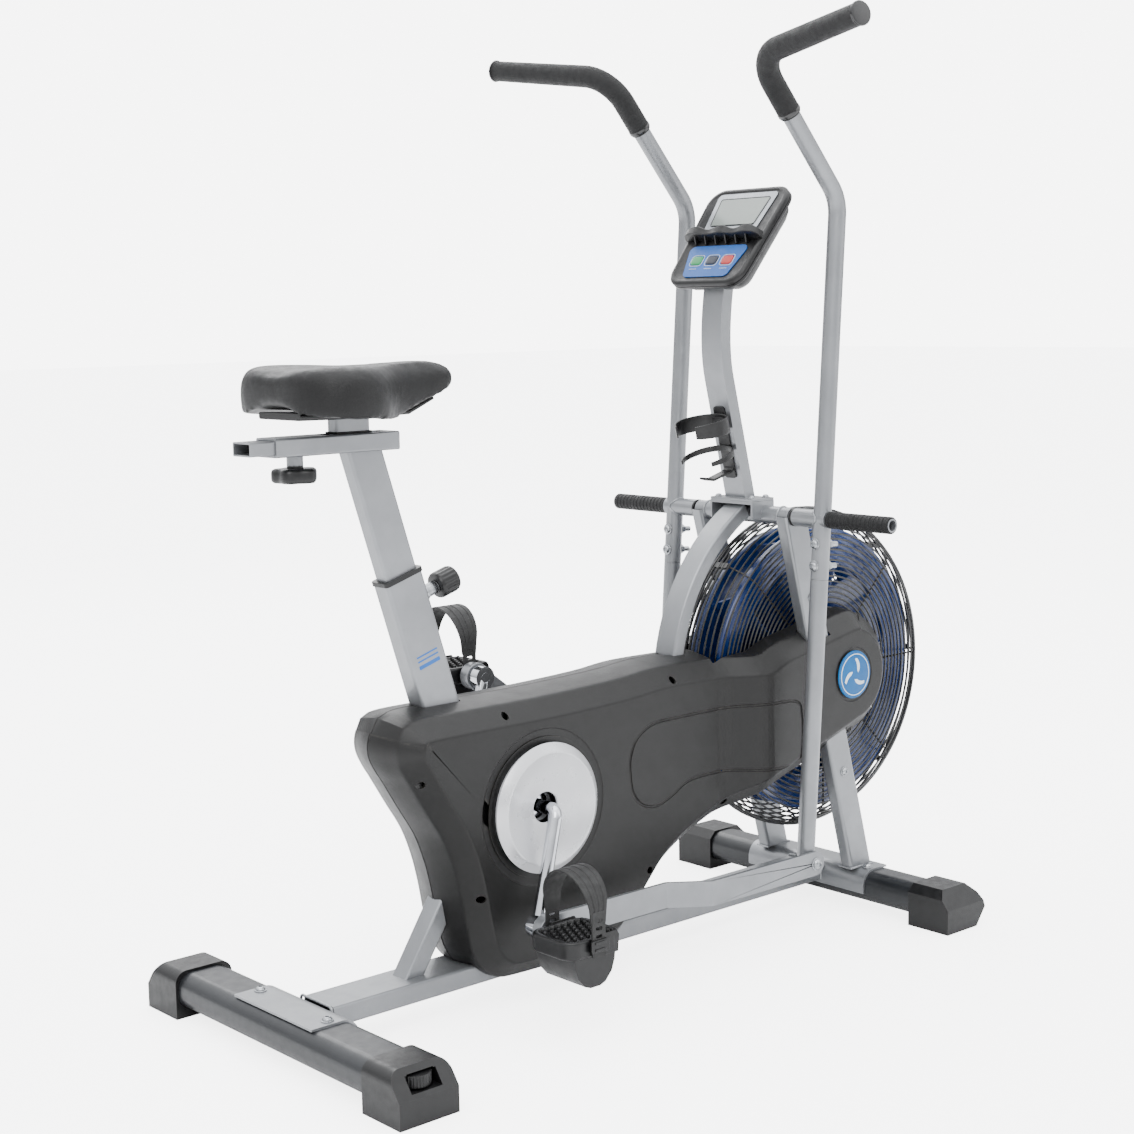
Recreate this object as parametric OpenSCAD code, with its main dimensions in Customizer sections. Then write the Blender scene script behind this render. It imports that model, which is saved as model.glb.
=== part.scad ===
// Air bike: a fan-resisted exercise bike with moving arms.
// Origin: on the floor, on the centre plane, midway between the rear feet and
// the front of the fan guard. +X points forward, +Y to the rider's left, +Z up.
// "Outboard" means away from the centre plane; right-hand pieces lie at -Y.

/* [Base] */
// Rear face of the rear feet
rear_x = -612.5; // [-680:0.5:-590]
// Length of a foot along the bike, rear
rear_foot_l = 85; // [80:1:100]
// Front stabilizer centre
front_x = 408.5; // [400:0.5:430]
// Half of the width over the feet
foot_y = 280; // [250:1:320]
// Length of a foot across the bike
foot_w = 73; // [66:1:90]
// Height of the base tube's underside
base_z = 32; // [28:1:36]
// Base tube width
base_w = 66; // [60:1:70]
// Base tube height
base_h = 27; // [24:1:30]
// Top of the stabilizer tubes
stab_top = 60; // [58:1:62]

/* [Seat] */
// Lean of the seat tube from upright, in degrees
seat_lean = 17.4; // [15:0.1:19]
// Seat tube axis where it leaves the cover, along X
seat_x = -336; // [-345:1:-330]
// Length of the visible sleeve above that place
sleeve_up = 175; // [165:1:185]
// Seat post section, fore and aft
post_l = 50; // [46:1:52]
// Seat post section, across
post_w = 24; // [20:1:25]
// Height of the seat rail's axis
rail_z = 753.4; // [740:0.1:770]

/* [Drive] */
// Crank axle, along X
crank_x = -214; // [-222:1:-206]
// Crank axle height
crank_z = 263; // [256:1:268]
// Crank length
crank_r = 150; // [145:1:155]
// Fan axle, along X
fan_x = 368.5; // [362:0.5:374]
// Fan axle height
fan_z = 364; // [358:1:370]
// Fan wheel radius
fan_r = 214; // [200:1:218]
// Largest radius of the fan guard
guard_r = 244; // [240:1:248]
// Drive pulley radius
drive_pulley_r = 104; // [96:1:108]
// Drive pulley turns into fan turns
fan_ratio = 4; // [3.5:0.1:4.5]

/* [Arms] */
// Arm pivot axle, along X
pivot_x = 248; // [242:1:254]
// Arm pivot axle height
pivot_z = 609; // [600:1:618]
// Arm tube plane, outboard of the centre plane
arm_y = 148.5; // [146:0.5:152]
// Arm tube outside diameter
arm_d = 25.4; // [22:0.1:26]
// Length from the arm pivot down to the link pivot
lever_l = 491.5; // [480:0.5:500]
// Lean of the arm at mid stroke, in degrees
arm_lean = 4.3; // [3.5:0.1:5]

/* [Console] */
// Tilt of the console face from upright, in degrees
console_tilt = 39; // [30:1:45]
// Console width
console_w = 158; // [150:1:165]
// Console height along its face
console_h = 178; // [165:1:185]

/* [Hidden] */
$fn = 48;

wall = 2;
play = 0.4;
hull_fn = 32;

// Base and feet
stab_low = 12;
stab_r = 21;
rear_stab_x = rear_x + rear_foot_l / 2;
rear_stab_l = rear_foot_l - 8;
front_foot_l = 68;
front_stab_l = front_foot_l - 6;
plate_t = 3;
rear_plate_y = 86;
front_plate_y = 118;
bolt_head_d = 15;

// Seat, along the leaning tube: local z = 0 where the sleeve leaves the cover
cover_top = 405;
seat_base = [seat_x, 0, cover_top + 6];
sleeve_l = 58;
sleeve_w = 32;
sleeve_in_l = sleeve_l - 2 * wall;
sleeve_in_w = sleeve_w - 2 * wall;
collar_h = 6;
rail_out = [44, 23];
rail_in = [39, 18];
slider_size = [38, 17];
rail_back = -575.5;
rail_front = -395;
slider_back = -610;
slider_front = -412;
rail_low = rail_z - rail_out[1] / 2;
rail_top = rail_z + rail_out[1] / 2;
post_top = (rail_low - seat_base[2]) / cos(seat_lean);
post_bottom = sleeve_up - 190;
knob_x = -536;
stub_x = -456;
stub_l = 50;
stub_w = 22;
slot_back = 17;
slot_front = 27;
saddle_low = 787;
saddle_top = 848;
pin_z = sleeve_up - 34;

// Drive
arm_end = [pivot_x - lever_l * sin(arm_lean), pivot_z - lever_l * cos(arm_lean)];
line_x = arm_end[0] - crank_x;
line_z = arm_end[1] - crank_z;
line_a = atan2(-line_z, line_x);
// The crank stands square to the line from its axle to the arm's lower end
crank_dir = [-sin(line_a), -cos(line_a)];
pin_right = [crank_x + crank_r * crank_dir[0], crank_z + crank_r * crank_dir[1]];
pin_left = [crank_x - crank_r * crank_dir[0], crank_z - crank_r * crank_dir[1]];
link_l = norm([arm_end[0] - pin_right[0], arm_end[1] - pin_right[1]]);
crank_y = 112;
crank_d = 18;
spindle_d = 22;
shaft_y = 96;
bb_half = 34;
link_in = 125;
link_out = 163;
link_t = 6;
link_h = 35;
pedal_in = 142;
pedal_w = 84;
pedal_half = 47;
strap_t = 2.4;
spindle_end = pedal_in + pedal_w - 5;
belt_y = 55;
belt_w = 11;
belt_t = 2.4;
fan_pulley_r = drive_pulley_r / fan_ratio;

// Cover: rim half width, face half width, and the wider part beside the fan
cover_rim = 45;
cover_face = 72;
cover_t = 2.5;
cover_crown = 6;
nose_in = 54;
nose_rim = 80;
nose_face = 104;
nose_r = 92;
disc_r = 87;
disc_h = 16.5;
disc_hole_r = 20.5;

// Fan and guard
guard_half = 48;
guard_wire = 2.6;
hub_hole_r = 62;

// Arms
sleeve_d = 26;
sleeve_bore = 20;
axle_d = 19;
sleeve_start = 100;
peg_start = 163;
peg_end = 275;
bend_a = [pivot_x + 33, 1056];
grip_turn = [122, 1240];
grip_tip = [83, 358, 1268];
socket_low = 85;
neck_d = 21;

// Forks and curved upright
fork_y = 85;
fork_l = 45;
fork_w = 22;
fork_top = [252, 609];
fork_foot = [397.5, stab_top + plate_t];
fork_a = atan2(fork_foot[0] - fork_top[0], fork_top[1] - fork_foot[1]);
upright_r = 286;
upright_t = 22;
upright_w = 40;
upright_top_a = 61;
beam_z = 258;
beam_w = 26;
beam_h = 30;

// Console
face_c = [211, 1012];
console_u = [sin(console_tilt), cos(console_tilt)];
bezel_t = 14;
back_t = 24;
button_v = -47;

// ---- helpers -------------------------------------------------------------

function unit(v) = v / norm(v);

module on_left(left) {
    if (left) mirror([0, 1, 0]) children();
    else children();
}

// A round bar along Y, from y0 to y1
module bar_y(x, z, y0, y1, d) {
    translate([x, y0, z]) rotate([-90, 0, 0]) cylinder(d = d, h = y1 - y0);
}

// A flat outline in X and Z, from y0 to y0 + t
module plate_y(y0, t) {
    translate([0, y0 + t, 0]) rotate([90, 0, 0]) linear_extrude(t) children();
}

// A rounded rectangle centred on the origin
module rounded(l, w, r) {
    square([l - 2 * r, w], center = true);
    square([l, w - 2 * r], center = true);
    for (i = [-1, 1], j = [-1, 1]) translate([i * (l / 2 - r), j * (w / 2 - r)]) circle(r);
}

// The outline of a rectangular tube, solid, or with its hollow
module box_tube(l, w, t = 0, r = 4) {
    difference() {
        rounded(l, w, r);
        if (t > 0) rounded(l - 2 * t, w - 2 * t, max(r - t, 1));
    }
}

// A bar from p to q
module rod(p, q, d) {
    v = q - p;
    translate(p) rotate([0, acos(v[2] / norm(v)), atan2(v[1], v[0])]) cylinder(d = d, h = norm(v));
}

// A round elbow at b, between the directions u (in) and v (out), a hair thicker than its bars
module elbow(b, u, v, r, d) {
    turn = acos(u * v);
    w = unit(v - u * (u * v));
    s = b - u * r * tan(turn / 2);
    c = s + w * r;
    n = cross(-w, u);
    multmatrix([
        [-w[0], u[0], n[0], c[0]],
        [-w[1], u[1], n[1], c[1]],
        [-w[2], u[2], n[2], c[2]],
        [0, 0, 0, 1]
    ]) rotate_extrude(angle = turn) translate([r, 0]) circle(d = d + 0.08);
}

// A bent bar through the points, with the same bend radius at every corner
module bent(points, r, d) {
    n = len(points);
    dir = [for (i = [0 : n - 2]) unit(points[i + 1] - points[i])];
    cut = [for (i = [0 : n - 1])
        i == 0 || i == n - 1 ? 0 : r * tan(acos(dir[i - 1] * dir[i]) / 2)];
    in_by = [for (i = [0 : n - 1]) max(cut[i] - 0.5, 0)];
    for (i = [0 : n - 2])
        rod(points[i] + dir[i] * in_by[i], points[i + 1] - dir[i] * in_by[i + 1], d);
    for (i = [1 : n - 2]) elbow(points[i], dir[i - 1], dir[i], r, d);
}

// Places children on the seat tube's axis, z up along the tube
module on_seat_tube() {
    translate(seat_base) rotate([0, -seat_lean, 0]) children();
}

// Places children on the console face: x across the bike, y up the face, z out of it
module on_console() {
    translate([face_c[0], 0, face_c[1]]) rotate([0, console_tilt, 0]) rotate([90, 0, -90]) children();
}

// ---- base ----------------------------------------------------------------

module stab_section(l, grow = 0) {
    translate([0, (stab_low + stab_top) / 2])
        rounded(l + 2 * grow, stab_top - stab_low + 2 * grow, stab_r + grow);
}

// A formed plate over the top and one side of a stabilizer; side is the way it turns down
module saddle_plate(x, l, half, side) {
    translate([x, 0, 0]) plate_y(-half, 2 * half) difference() {
        stab_section(l, plate_t);
        stab_section(l, 0.02);
        translate([-side * l, 0]) square([2 * l, 4 * stab_top], center = true);
        translate([-l, -1]) square([2 * l, base_z - 3]);
    }
    translate([x - (side > 0 ? l / 2 - stab_r / 2 : 0), -half, stab_top + 0.02])
        cube([l / 2 - stab_r / 2, 2 * half, plate_t - 0.02]);
}

module rear_stabilizer() {
    color("dimgray") translate([rear_stab_x, 0, 0]) plate_y(-230, 460) difference() {
        stab_section(rear_stab_l);
        stab_section(rear_stab_l, -wall);
    }
}

module front_stabilizer() {
    color("dimgray") translate([front_x, 0, 0]) plate_y(-232, 464) difference() {
        stab_section(front_stab_l);
        stab_section(front_stab_l, -wall);
    }
}

// A foot's outline seen from the side: flat below, rounded above
module foot_outline(l, h, r) {
    translate([-l / 2, 0]) square([l, h - r]);
    translate([-l / 2 + r, 0]) square([l - 2 * r, h]);
    for (i = [-1, 1]) translate([i * (l / 2 - r), h - r]) circle(r);
}

// Cuts the outboard upper edge of a foot at a slant
module foot_slant(h) {
    translate([0, -foot_y, 32]) rotate([53, 0, 0]) translate([-80, -60, 0]) cube([160, 120, 60]);
}

module rear_cap(left) {
    wheel_y = foot_y - 28;
    color([0.13, 0.13, 0.14]) on_left(left) difference() {
        translate([rear_stab_x, 0, 0]) plate_y(-foot_y, foot_w) foot_outline(rear_foot_l, 63.5, 17);
        translate([rear_stab_x, 0, 0]) foot_slant();
        translate([rear_stab_x, 0, 0]) plate_y(-230.5, foot_w) stab_section(rear_stab_l, play);
        // Room for the levelling wheel, its stem and its pad
        translate([rear_stab_x, -wheel_y, 36]) cylinder(r = 21.5, h = 20);
        translate([rear_stab_x - 22, -foot_y - 1, 37]) cube([44, 30, 18]);
        translate([rear_stab_x, -wheel_y, -1]) cylinder(d = 9, h = 50);
        translate([rear_stab_x, -wheel_y, -1]) cylinder(d = 30, h = 7);
    }
}

module levelling_foot(left) {
    color([0.08, 0.08, 0.09]) on_left(left) translate([rear_stab_x, -(foot_y - 28), 0]) {
        difference() {
            translate([0, 0, 39]) cylinder(r = 19.5, h = 14);
            for (i = [0 : 29]) rotate(i * 12) translate([20, 0, 38]) cylinder(d = 2.4, h = 16, $fn = 16);
        }
        cylinder(d = 8, h = 40);
        cylinder(d = 26, h = 4.5);
    }
}

// Side outline of a front foot, with the swell that houses the wheel
module front_foot_outline() {
    l = front_foot_l / 2;
    polygon([[-l, 0], [l, 0], [l + 20, 26], [l + 12, 48], [l - 4, 62], [-l + 12, 62], [-l, 50]]);
}

module front_cap(left) {
    wheel_x = front_x + 32;
    color([0.13, 0.13, 0.14]) on_left(left) {
        difference() {
            translate([front_x, 0, 0]) plate_y(-foot_y + 3, foot_w) front_foot_outline();
            translate([front_x, 0, 0]) foot_slant();
            translate([front_x, 0, 0]) plate_y(-232.5, foot_w) stab_section(front_stab_l, play);
            // Pocket for the transport wheel, open in front and below
            translate([wheel_x - 21, -266, -1]) cube([60, 20, 46]);
        }
        bar_y(wheel_x, 24, -270, -240, 6);
    }
}

module transport_wheel(left) {
    color([0.1, 0.1, 0.1]) on_left(left) difference() {
        bar_y(front_x + 32, 24, -265, -247, 38);
        bar_y(front_x + 32, 24, -266, -246, 6.6);
    }
}

// A domed screw head on a washer, axis up, seat at z = 0
module screw_head(d, h) {
    cylinder(d = d * 1.25, h = 1.4);
    difference() {
        cylinder(d = d, h = h);
        translate([0, 0, h - 2.5]) cylinder(d = d * 0.42, h = 3, $fn = 6);
    }
}

module frame_bolts() {
    color("silver") {
        for (y = [-74, 74]) translate([rear_stab_x + 3, y, stab_top + plate_t + 0.05]) screw_head(13, 6);
        for (y = [-106, 106]) translate([front_x - 10, y, stab_top + plate_t + 0.05]) screw_head(13, 6);
        // Guard screws on the outboard faces of the forks
        for (s = [-1, 1], at = [fork_at(488), fork_at(217)])
            translate([at[0], s * (fork_y + fork_w / 2 + 0.05), at[1]]) rotate([-90 * s, 0, 0])
                screw_head(12, 5);
        for (x = [8, 38], y = [-33, 33])
            translate([seat_back + x, y, mast_seat_z + 4.1]) screw_head(9, 4.5);
    }
}

// ---- main frame ----------------------------------------------------------

function fork_at(z) = [fork_top[0] + (fork_top[1] - z) * tan(fork_a), z];

// The fork's tube, drawn from above its head to below its foot
module fork_tube(t) {
    translate([fork_top[0], -fork_y, fork_top[1]]) rotate([0, 180 - fork_a, 0])
        translate([0, 0, -20]) linear_extrude(600) rounded(fork_l - 2 * t, fork_w - 2 * t, 5 - t);
}

module forks(t) {
    for (s = [0, 1]) on_left(s == 1) intersection() {
        fork_tube(t);
        translate([0, -200, fork_foot[1]]) cube([600, 200, fork_top[1] - fork_foot[1]]);
    }
}

// The curved upright follows a circle about the fan axle, then drops to the beam inside the cover
module upright(t) {
    translate([fan_x, 0, fan_z]) rotate([90, 0, 180]) rotate_extrude(angle = upright_top_a)
        translate([upright_r, 0]) rounded(upright_t - 2 * t, upright_w - 2 * t, 4 - t);
    translate([fan_x - upright_r, 0, beam_z - 16 + t])
        linear_extrude(fan_z - beam_z + 16 - t)
            rounded(upright_t - 2 * t, upright_w - 2 * t, 4 - t);
}

module brace(t) {
    intersection() {
        translate([-390, 0, base_z + base_h]) rotate([0, 33.2, 0]) translate([0, 0, -20])
            linear_extrude(235) rounded(26 - 2 * t, 30 - 2 * t, 3 - t);
        translate([-500, -50, base_z + base_h - 0.5]) cube([400, 100, 300]);
    }
}

// Sleeve from the base tube up; its hollow is open at the top
module sleeve_tube(l, w, low, high) {
    intersection() {
        on_seat_tube() translate([0, 0, low]) linear_extrude(high - low) rounded(l, w, 5);
        translate([-600, -50, base_z + base_h - 0.5]) cube([600, 100, 800]);
    }
}

module main_frame() {
    base_back = rear_stab_x + rear_stab_l / 2 + plate_t - 0.5;
    base_front = front_x - front_stab_l / 2 - plate_t + 0.5;
    base_mid = base_z + base_h / 2;
    color([0.66, 0.67, 0.68]) difference() {
        union() {
            // Base tube and its two formed plates
            translate([base_back, 0, base_mid]) rotate([90, 0, 90])
                linear_extrude(base_front - base_back) box_tube(base_w, base_h);
            saddle_plate(rear_stab_x, rear_stab_l, rear_plate_y, 1);
            saddle_plate(front_x, front_stab_l, front_plate_y, -1);
            brace(0);
            sleeve_tube(sleeve_l, sleeve_w, -380, sleeve_up);
            // Bottom bracket shell and the block that carries it
            bar_y(crank_x, crank_z, -bb_half, bb_half, 50);
            translate([crank_x - 78, -13, crank_z - 20]) cube([78, 26, 40]);
            translate([crank_x - 14, -13, base_z + base_h - 1]) cube([28, 26, crank_z - base_z - base_h]);
            upright(0);
            // Beam from the bottom bracket to the upright, hidden by the cover
            translate([crank_x, 0, beam_z]) rotate([90, 0, 90])
                linear_extrude(fan_x - upright_r - crank_x) rounded(beam_w, beam_h, 3);
            forks(0);
            // Cross tube with the axle running through it
            bar_y(pivot_x, pivot_z, -93, 93, 26);
            bar_y(pivot_x, pivot_z, -peg_end, peg_end, axle_d);
            // Channel that seats the console mast
            difference() {
                translate([seat_back, -42, pivot_z - 6]) cube([46, 84, mast_seat_z - pivot_z + 6]);
                translate([seat_back - 1, -39, pivot_z - 7]) cube([48, 78, mast_seat_z - pivot_z + 3]);
            }
            // Plates that hold the fan axle ahead of the forks
            for (s = [-1, 1]) hull() {
                bar_y(fan_x, fan_z, s * fork_y - 4, s * fork_y + 4, 34);
                bar_y(fork_at(fan_z)[0] + 8, fan_z, s * fork_y - 4, s * fork_y + 4, 60);
            }
            // Boss for the sleeve's spring pin
            on_seat_tube() translate([sleeve_l / 2 - 1, 0, pin_z]) rotate([0, 90, 0])
                cylinder(d = 17, h = 23);
        }
        // Hollows
        translate([base_back - 1, 0, base_mid]) rotate([90, 0, 90])
            linear_extrude(base_front - base_back + 2) box_tube(base_w - 2 * wall, base_h - 2 * wall);
        brace(wall);
        sleeve_tube(sleeve_in_l, sleeve_in_w, -300, sleeve_up + 1);
        bar_y(crank_x, crank_z, -bb_half - 1, bb_half + 1, 42);
        upright(wall);
        translate([crank_x + 26, 0, beam_z]) rotate([90, 0, 90])
            linear_extrude(fan_x - upright_r - crank_x - 38)
                rounded(beam_w - 2 * wall, beam_h - 2 * wall, 1);
        forks(wall);
        bar_y(pivot_x, pivot_z, -peg_end - 1, peg_end + 1, axle_d - 2 * wall);
        for (s = [-1, 1]) bar_y(fan_x, fan_z, s * fork_y - 5, s * fork_y + 5, 10);
        on_seat_tube() translate([sleeve_in_l / 2 - 2, 0, pin_z]) rotate([0, 90, 0])
            cylinder(d = 9, h = 40);
    }
}

// ---- seat ----------------------------------------------------------------

module sleeve_collar() {
    color([0.1, 0.1, 0.1]) on_seat_tube() difference() {
        union() {
            translate([0, 0, sleeve_up]) linear_extrude(collar_h) rounded(sleeve_l + 3, sleeve_w + 3, 6);
            translate([0, 0, sleeve_up - 60]) linear_extrude(61)
                rounded(sleeve_in_l - play, sleeve_in_w - play, 4.8);
        }
        translate([0, 0, sleeve_up - 61]) linear_extrude(80) rounded(post_l + 0.6, post_w + 0.6, 4.3);
        translate([0, 0, pin_z]) rotate([0, 90, 0]) cylinder(d = 9, h = 60);
    }
}

module seat_post() {
    color([0.66, 0.67, 0.68]) difference() {
        union() {
            intersection() {
                on_seat_tube() translate([0, 0, post_bottom]) linear_extrude(post_top - post_bottom + 30)
                    rounded(post_l, post_w, 4);
                translate([-700, -50, 0]) cube([700, 100, rail_low + 1]);
            }
            translate([rail_back, 0, rail_z]) rotate([90, 0, 90])
                linear_extrude(rail_front - rail_back) rounded(rail_out[0], rail_out[1], 3);
            translate([knob_x, 0, rail_low - 12]) cylinder(d = 20, h = 13);
        }
        intersection() {
            on_seat_tube() translate([0, 0, post_bottom - 1]) linear_extrude(post_top - post_bottom + 30)
                rounded(post_l - 2 * wall, post_w - 2 * wall, 2);
            translate([-700, -50, 0]) cube([700, 100, rail_low - 1]);
        }
        translate([rail_back - 1, 0, rail_z]) rotate([90, 0, 90])
            linear_extrude(rail_front - rail_back + 2) rounded(rail_in[0], rail_in[1], 1.5);
        translate([stub_x - stub_l / 2 - slot_back, -stub_w / 2 - 1, rail_z])
            cube([stub_l + slot_back + slot_front, stub_w + 2, 20]);
        translate([knob_x, 0, rail_low - 13]) cylinder(d = 10.6, h = 17);
        // Height holes for the spring pin
        for (i = [-2 : 4]) on_seat_tube() translate([post_l / 2 - 5, 0, pin_z - i * 25])
            rotate([0, 90, 0]) cylinder(d = 9, h = 10);
    }
}

module seat_slider() {
    color([0.66, 0.67, 0.68]) difference() {
        union() {
            translate([slider_back, 0, rail_z]) rotate([90, 0, 90])
                linear_extrude(slider_front - slider_back) rounded(slider_size[0], slider_size[1], 2);
            translate([stub_x, 0, rail_z]) linear_extrude(saddle_low - 1 - rail_z)
                rounded(stub_l, stub_w, 4);
        }
        translate([slider_back - 1, 0, rail_z]) rotate([90, 0, 90])
            linear_extrude(slider_front - slider_back + 2)
                rounded(slider_size[0] - 2 * wall, slider_size[1] - 2 * wall, 1);
    }
}

module saddle() {
    color([0.12, 0.12, 0.12]) hull() {
        for (s = [-1, 1]) translate([-505, s * 48, saddle_low])
            cylinder(r = 66, h = saddle_top - saddle_low - 18, $fn = hull_fn);
        for (s = [-1, 1]) translate([-505, s * 42, saddle_low])
            cylinder(r = 52, h = saddle_top - saddle_low, $fn = hull_fn);
        translate([-330, 0, saddle_low + 14]) cylinder(r = 30, h = 26, $fn = hull_fn);
        translate([-335, 0, saddle_low + 20]) cylinder(r = 24, h = 36, $fn = hull_fn);
    }
}

module slider_knob() {
    color([0.1, 0.1, 0.1]) {
        difference() {
            translate([knob_x, 0, rail_low - 33]) cylinder(d = 58, h = 18);
            for (i = [0 : 5]) translate([knob_x, 0, 0]) rotate(i * 60 + 30)
                translate([36, 0, rail_low - 34]) cylinder(r = 12, h = 20);
        }
        translate([knob_x, 0, rail_low - 16]) cylinder(d = 10, h = 16 + 2.3);
    }
}

module post_knob() {
    color([0.1, 0.1, 0.1]) on_seat_tube() translate([0, 0, pin_z]) rotate([0, 90, 0]) {
        translate([0, 0, post_l / 2 + 0.5]) cylinder(d = 8, h = 30);
        difference() {
            translate([0, 0, sleeve_l / 2 + 22.5]) cylinder(d = 35, h = 30);
            for (i = [0 : 17]) rotate(i * 20) translate([18.6, 0, sleeve_l / 2 + 28])
                cylinder(d = 4, h = 40, $fn = 16);
        }
    }
}

// ---- cover ---------------------------------------------------------------

// The whole side outline: seat end, belly, waist and the round end at the fan
module cover_outline() {
    x = crank_x;
    offset(r = 24, $fn = 40) offset(delta = -24) polygon([
        [x - 206, cover_top - 2], [x - 219, cover_top - 24], [x - 214, cover_top - 68],
        [x - 152, cover_top - 148], [x - 120, cover_top - 225], [x - 100, cover_top - 300],
        [x - 74, 46], [x - 44, 36], [x + 118, 36], [x + 158, 52], [x + 200, 101], [x + 232, 137],
        [x + 276, 163], [x + 334, 187], [x + 422, 219], [x + 540, 251], [fan_x, fan_z - nose_r],
        [fan_x + 10, fan_z + nose_r - 2], [fan_x - 50, 445], [fan_x - 160, 424],
        [fan_x - 190, 413], [20, 415], [-60, 408], [x - 60, cover_top]
    ]);
    translate([fan_x, fan_z]) circle(r = nose_r, $fn = 64);
}

// One level of the cover, with its outline drawn in by inset
module cover_level(y0, y1, inset) {
    plate_y(-y1, y1 - y0) offset(delta = -inset) cover_outline();
}

// The right half of the cover as a solid; grow is negative for its inside
module cover_half(grow) {
    steps = 3;
    rise = (cover_face - cover_rim) / steps;
    cover_level(-1, 22 + grow, -cover_crown - grow);
    cover_level(-1, cover_rim + grow, -grow);
    for (i = [1 : steps])
        cover_level(0, cover_rim + i * rise + grow, i * 8.5 - grow);
    nose_rise = (nose_face - nose_rim) / steps;
    intersection() {
        union() {
            cover_level(0, nose_rim + grow, -grow);
            for (i = [1 : steps])
                cover_level(0, nose_rim + i * nose_rise + grow, i * 8 - grow);
        }
        translate([190 - grow, -200, 0]) cube([500, 300, 600]);
    }
}

module cover_side(left) {
    color([0.14, 0.14, 0.13]) on_left(left) difference() {
        cover_half(0);
        difference() {
            cover_half(-cover_t);
            // Screw posts between the halves
            for (p = [[-300, 388], [30, 396], [-345, 150]]) bar_y(p[0], p[1], -60, 0, 9);
        }
        // Everything beyond the centre plane
        translate([-700, -0.15, 0]) cube([1400, 200, 600]);
        // Room for the fan guard
        bar_y(fan_x, fan_z, -nose_in, 10, 2 * guard_r + 12);
        // Base tube, plates, brace, sleeve and upright
        translate([-700, -base_w / 2 - 1, 0]) cube([1200, 200, base_z + base_h + 1]);
        translate([-390, 0, base_z + base_h]) rotate([0, 33.2, 0]) translate([-15, -17, -40])
            cube([30, 40, 260]);
        on_seat_tube() translate([-sleeve_l / 2 - 1, -sleeve_w / 2 - 1, -200])
            cube([sleeve_l + 2, sleeve_w + 2, 500]);
        translate([fan_x, 0, fan_z]) rotate([90, 0, 180]) rotate_extrude(angle = 60)
            translate([upright_r, 0]) square([upright_t + 2, upright_w + 2], center = true);
        translate([fan_x - upright_r - upright_t / 2 - 1, -upright_w / 2 - 1, beam_z - 20])
            cube([upright_t + 2, upright_w + 2, fan_z - beam_z + 20]);
        // Crank and fork openings
        bar_y(crank_x, crank_z, -90, 0, 46);
        translate([fork_top[0], -fork_y, fork_top[1]]) rotate([0, 180 - fork_a, 0])
            translate([-fork_l / 2 - 1.5, -fork_w / 2 - 1.5, 0]) cube([fork_l + 3, fork_w + 3, 600]);
    }
}

// Dished disc: undercut foot, bevelled rim, and a cone down to the hub hole
module crank_discs() {
    color([0.85, 0.85, 0.86]) for (s = [0, 1]) on_left(s == 1)
        translate([crank_x, -cover_face, crank_z]) rotate([90, 0, 0]) rotate_extrude($fn = 96)
            polygon([[disc_hole_r, 0.1], [disc_r - 4, 0.1], [disc_r - 4, 6], [disc_r, 6.6], [disc_r, 8],
                [disc_r - 11, disc_h], [disc_r - 13, disc_h], [disc_r - 14.5, disc_h - 1.2],
                [disc_hole_r + 3, 3.4], [disc_hole_r, 2.6]]);
}

module badge_right() {
    color([0.1, 0.55, 0.8]) bar_y(fan_x, fan_z, -nose_face - 3, -nose_face - 0.1, 72);
}

// ---- drive ---------------------------------------------------------------

module bottom_bracket_cups() {
    color("silver") for (s = [0, 1]) on_left(s == 1) difference() {
        union() {
            bar_y(crank_x, crank_z, -bb_half - 4, -bb_half - 0.1, 46);
            bar_y(crank_x, crank_z, -bb_half - 0.2, -bb_half + 14, 41.6);
        }
        bar_y(crank_x, crank_z, -bb_half - 5, -bb_half + 15, spindle_d + 0.6);
    }
}

// One crank arm with its eye, as a bent bar from the middle of the axle
module crank_half(pin, s) {
    difference() {
        union() {
            bent([[crank_x, 0, crank_z], [crank_x, s * shaft_y, crank_z],
                [pin[0], s * crank_y, pin[1]]], 12, crank_d);
            bar_y(pin[0], pin[1], s * crank_y - 7, s * crank_y + 7, 32);
        }
        bar_y(pin[0], pin[1], s * crank_y - 10, s * crank_y + 10, 14.2);
        // Faces the eye flat on its outboard side
        bar_y(pin[0], pin[1], s * (crank_y + 12.05) - 5, s * (crank_y + 12.05) + 5, 44);
    }
}

module crank() {
    color([0.8, 0.8, 0.82]) {
        crank_half(pin_right, -1);
        crank_half(pin_left, 1);
        bar_y(crank_x, crank_z, -bb_half - 8, bb_half + 8, spindle_d);
        // Flange that the drive pulley bolts to
        bar_y(crank_x, crank_z, -belt_y - 2, -bb_half - 7, 40);
    }
}

module drive_pulley() {
    color([0.25, 0.25, 0.26]) difference() {
        bar_y(crank_x, crank_z, -belt_y - belt_w / 2 - 1, -belt_y + belt_w / 2 + 1, 2 * drive_pulley_r + 6);
        difference() {
            bar_y(crank_x, crank_z, -belt_y - belt_w / 2, -belt_y + belt_w / 2, 2 * drive_pulley_r + 8);
            bar_y(crank_x, crank_z, -100, 0, 2 * drive_pulley_r);
        }
        for (i = [0 : 4]) translate([crank_x, 0, crank_z]) rotate([0, i * 72, 0])
            bar_y(62, 0, -100, 0, 46);
        bar_y(crank_x, crank_z, -100, 0, 40.2);
    }
}

// Belt outline: a loop around two circles grown by t
module belt_loop(t) {
    hull() {
        translate([crank_x, crank_z]) circle(drive_pulley_r + t, $fn = 72);
        translate([fan_x, fan_z]) circle(fan_pulley_r + t, $fn = 72);
    }
}

module drive_belt() {
    color([0.08, 0.08, 0.08]) plate_y(-belt_y - belt_w / 2 + 0.5, belt_w - 1) difference() {
        belt_loop(belt_t);
        belt_loop(0.3);
    }
}

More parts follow.
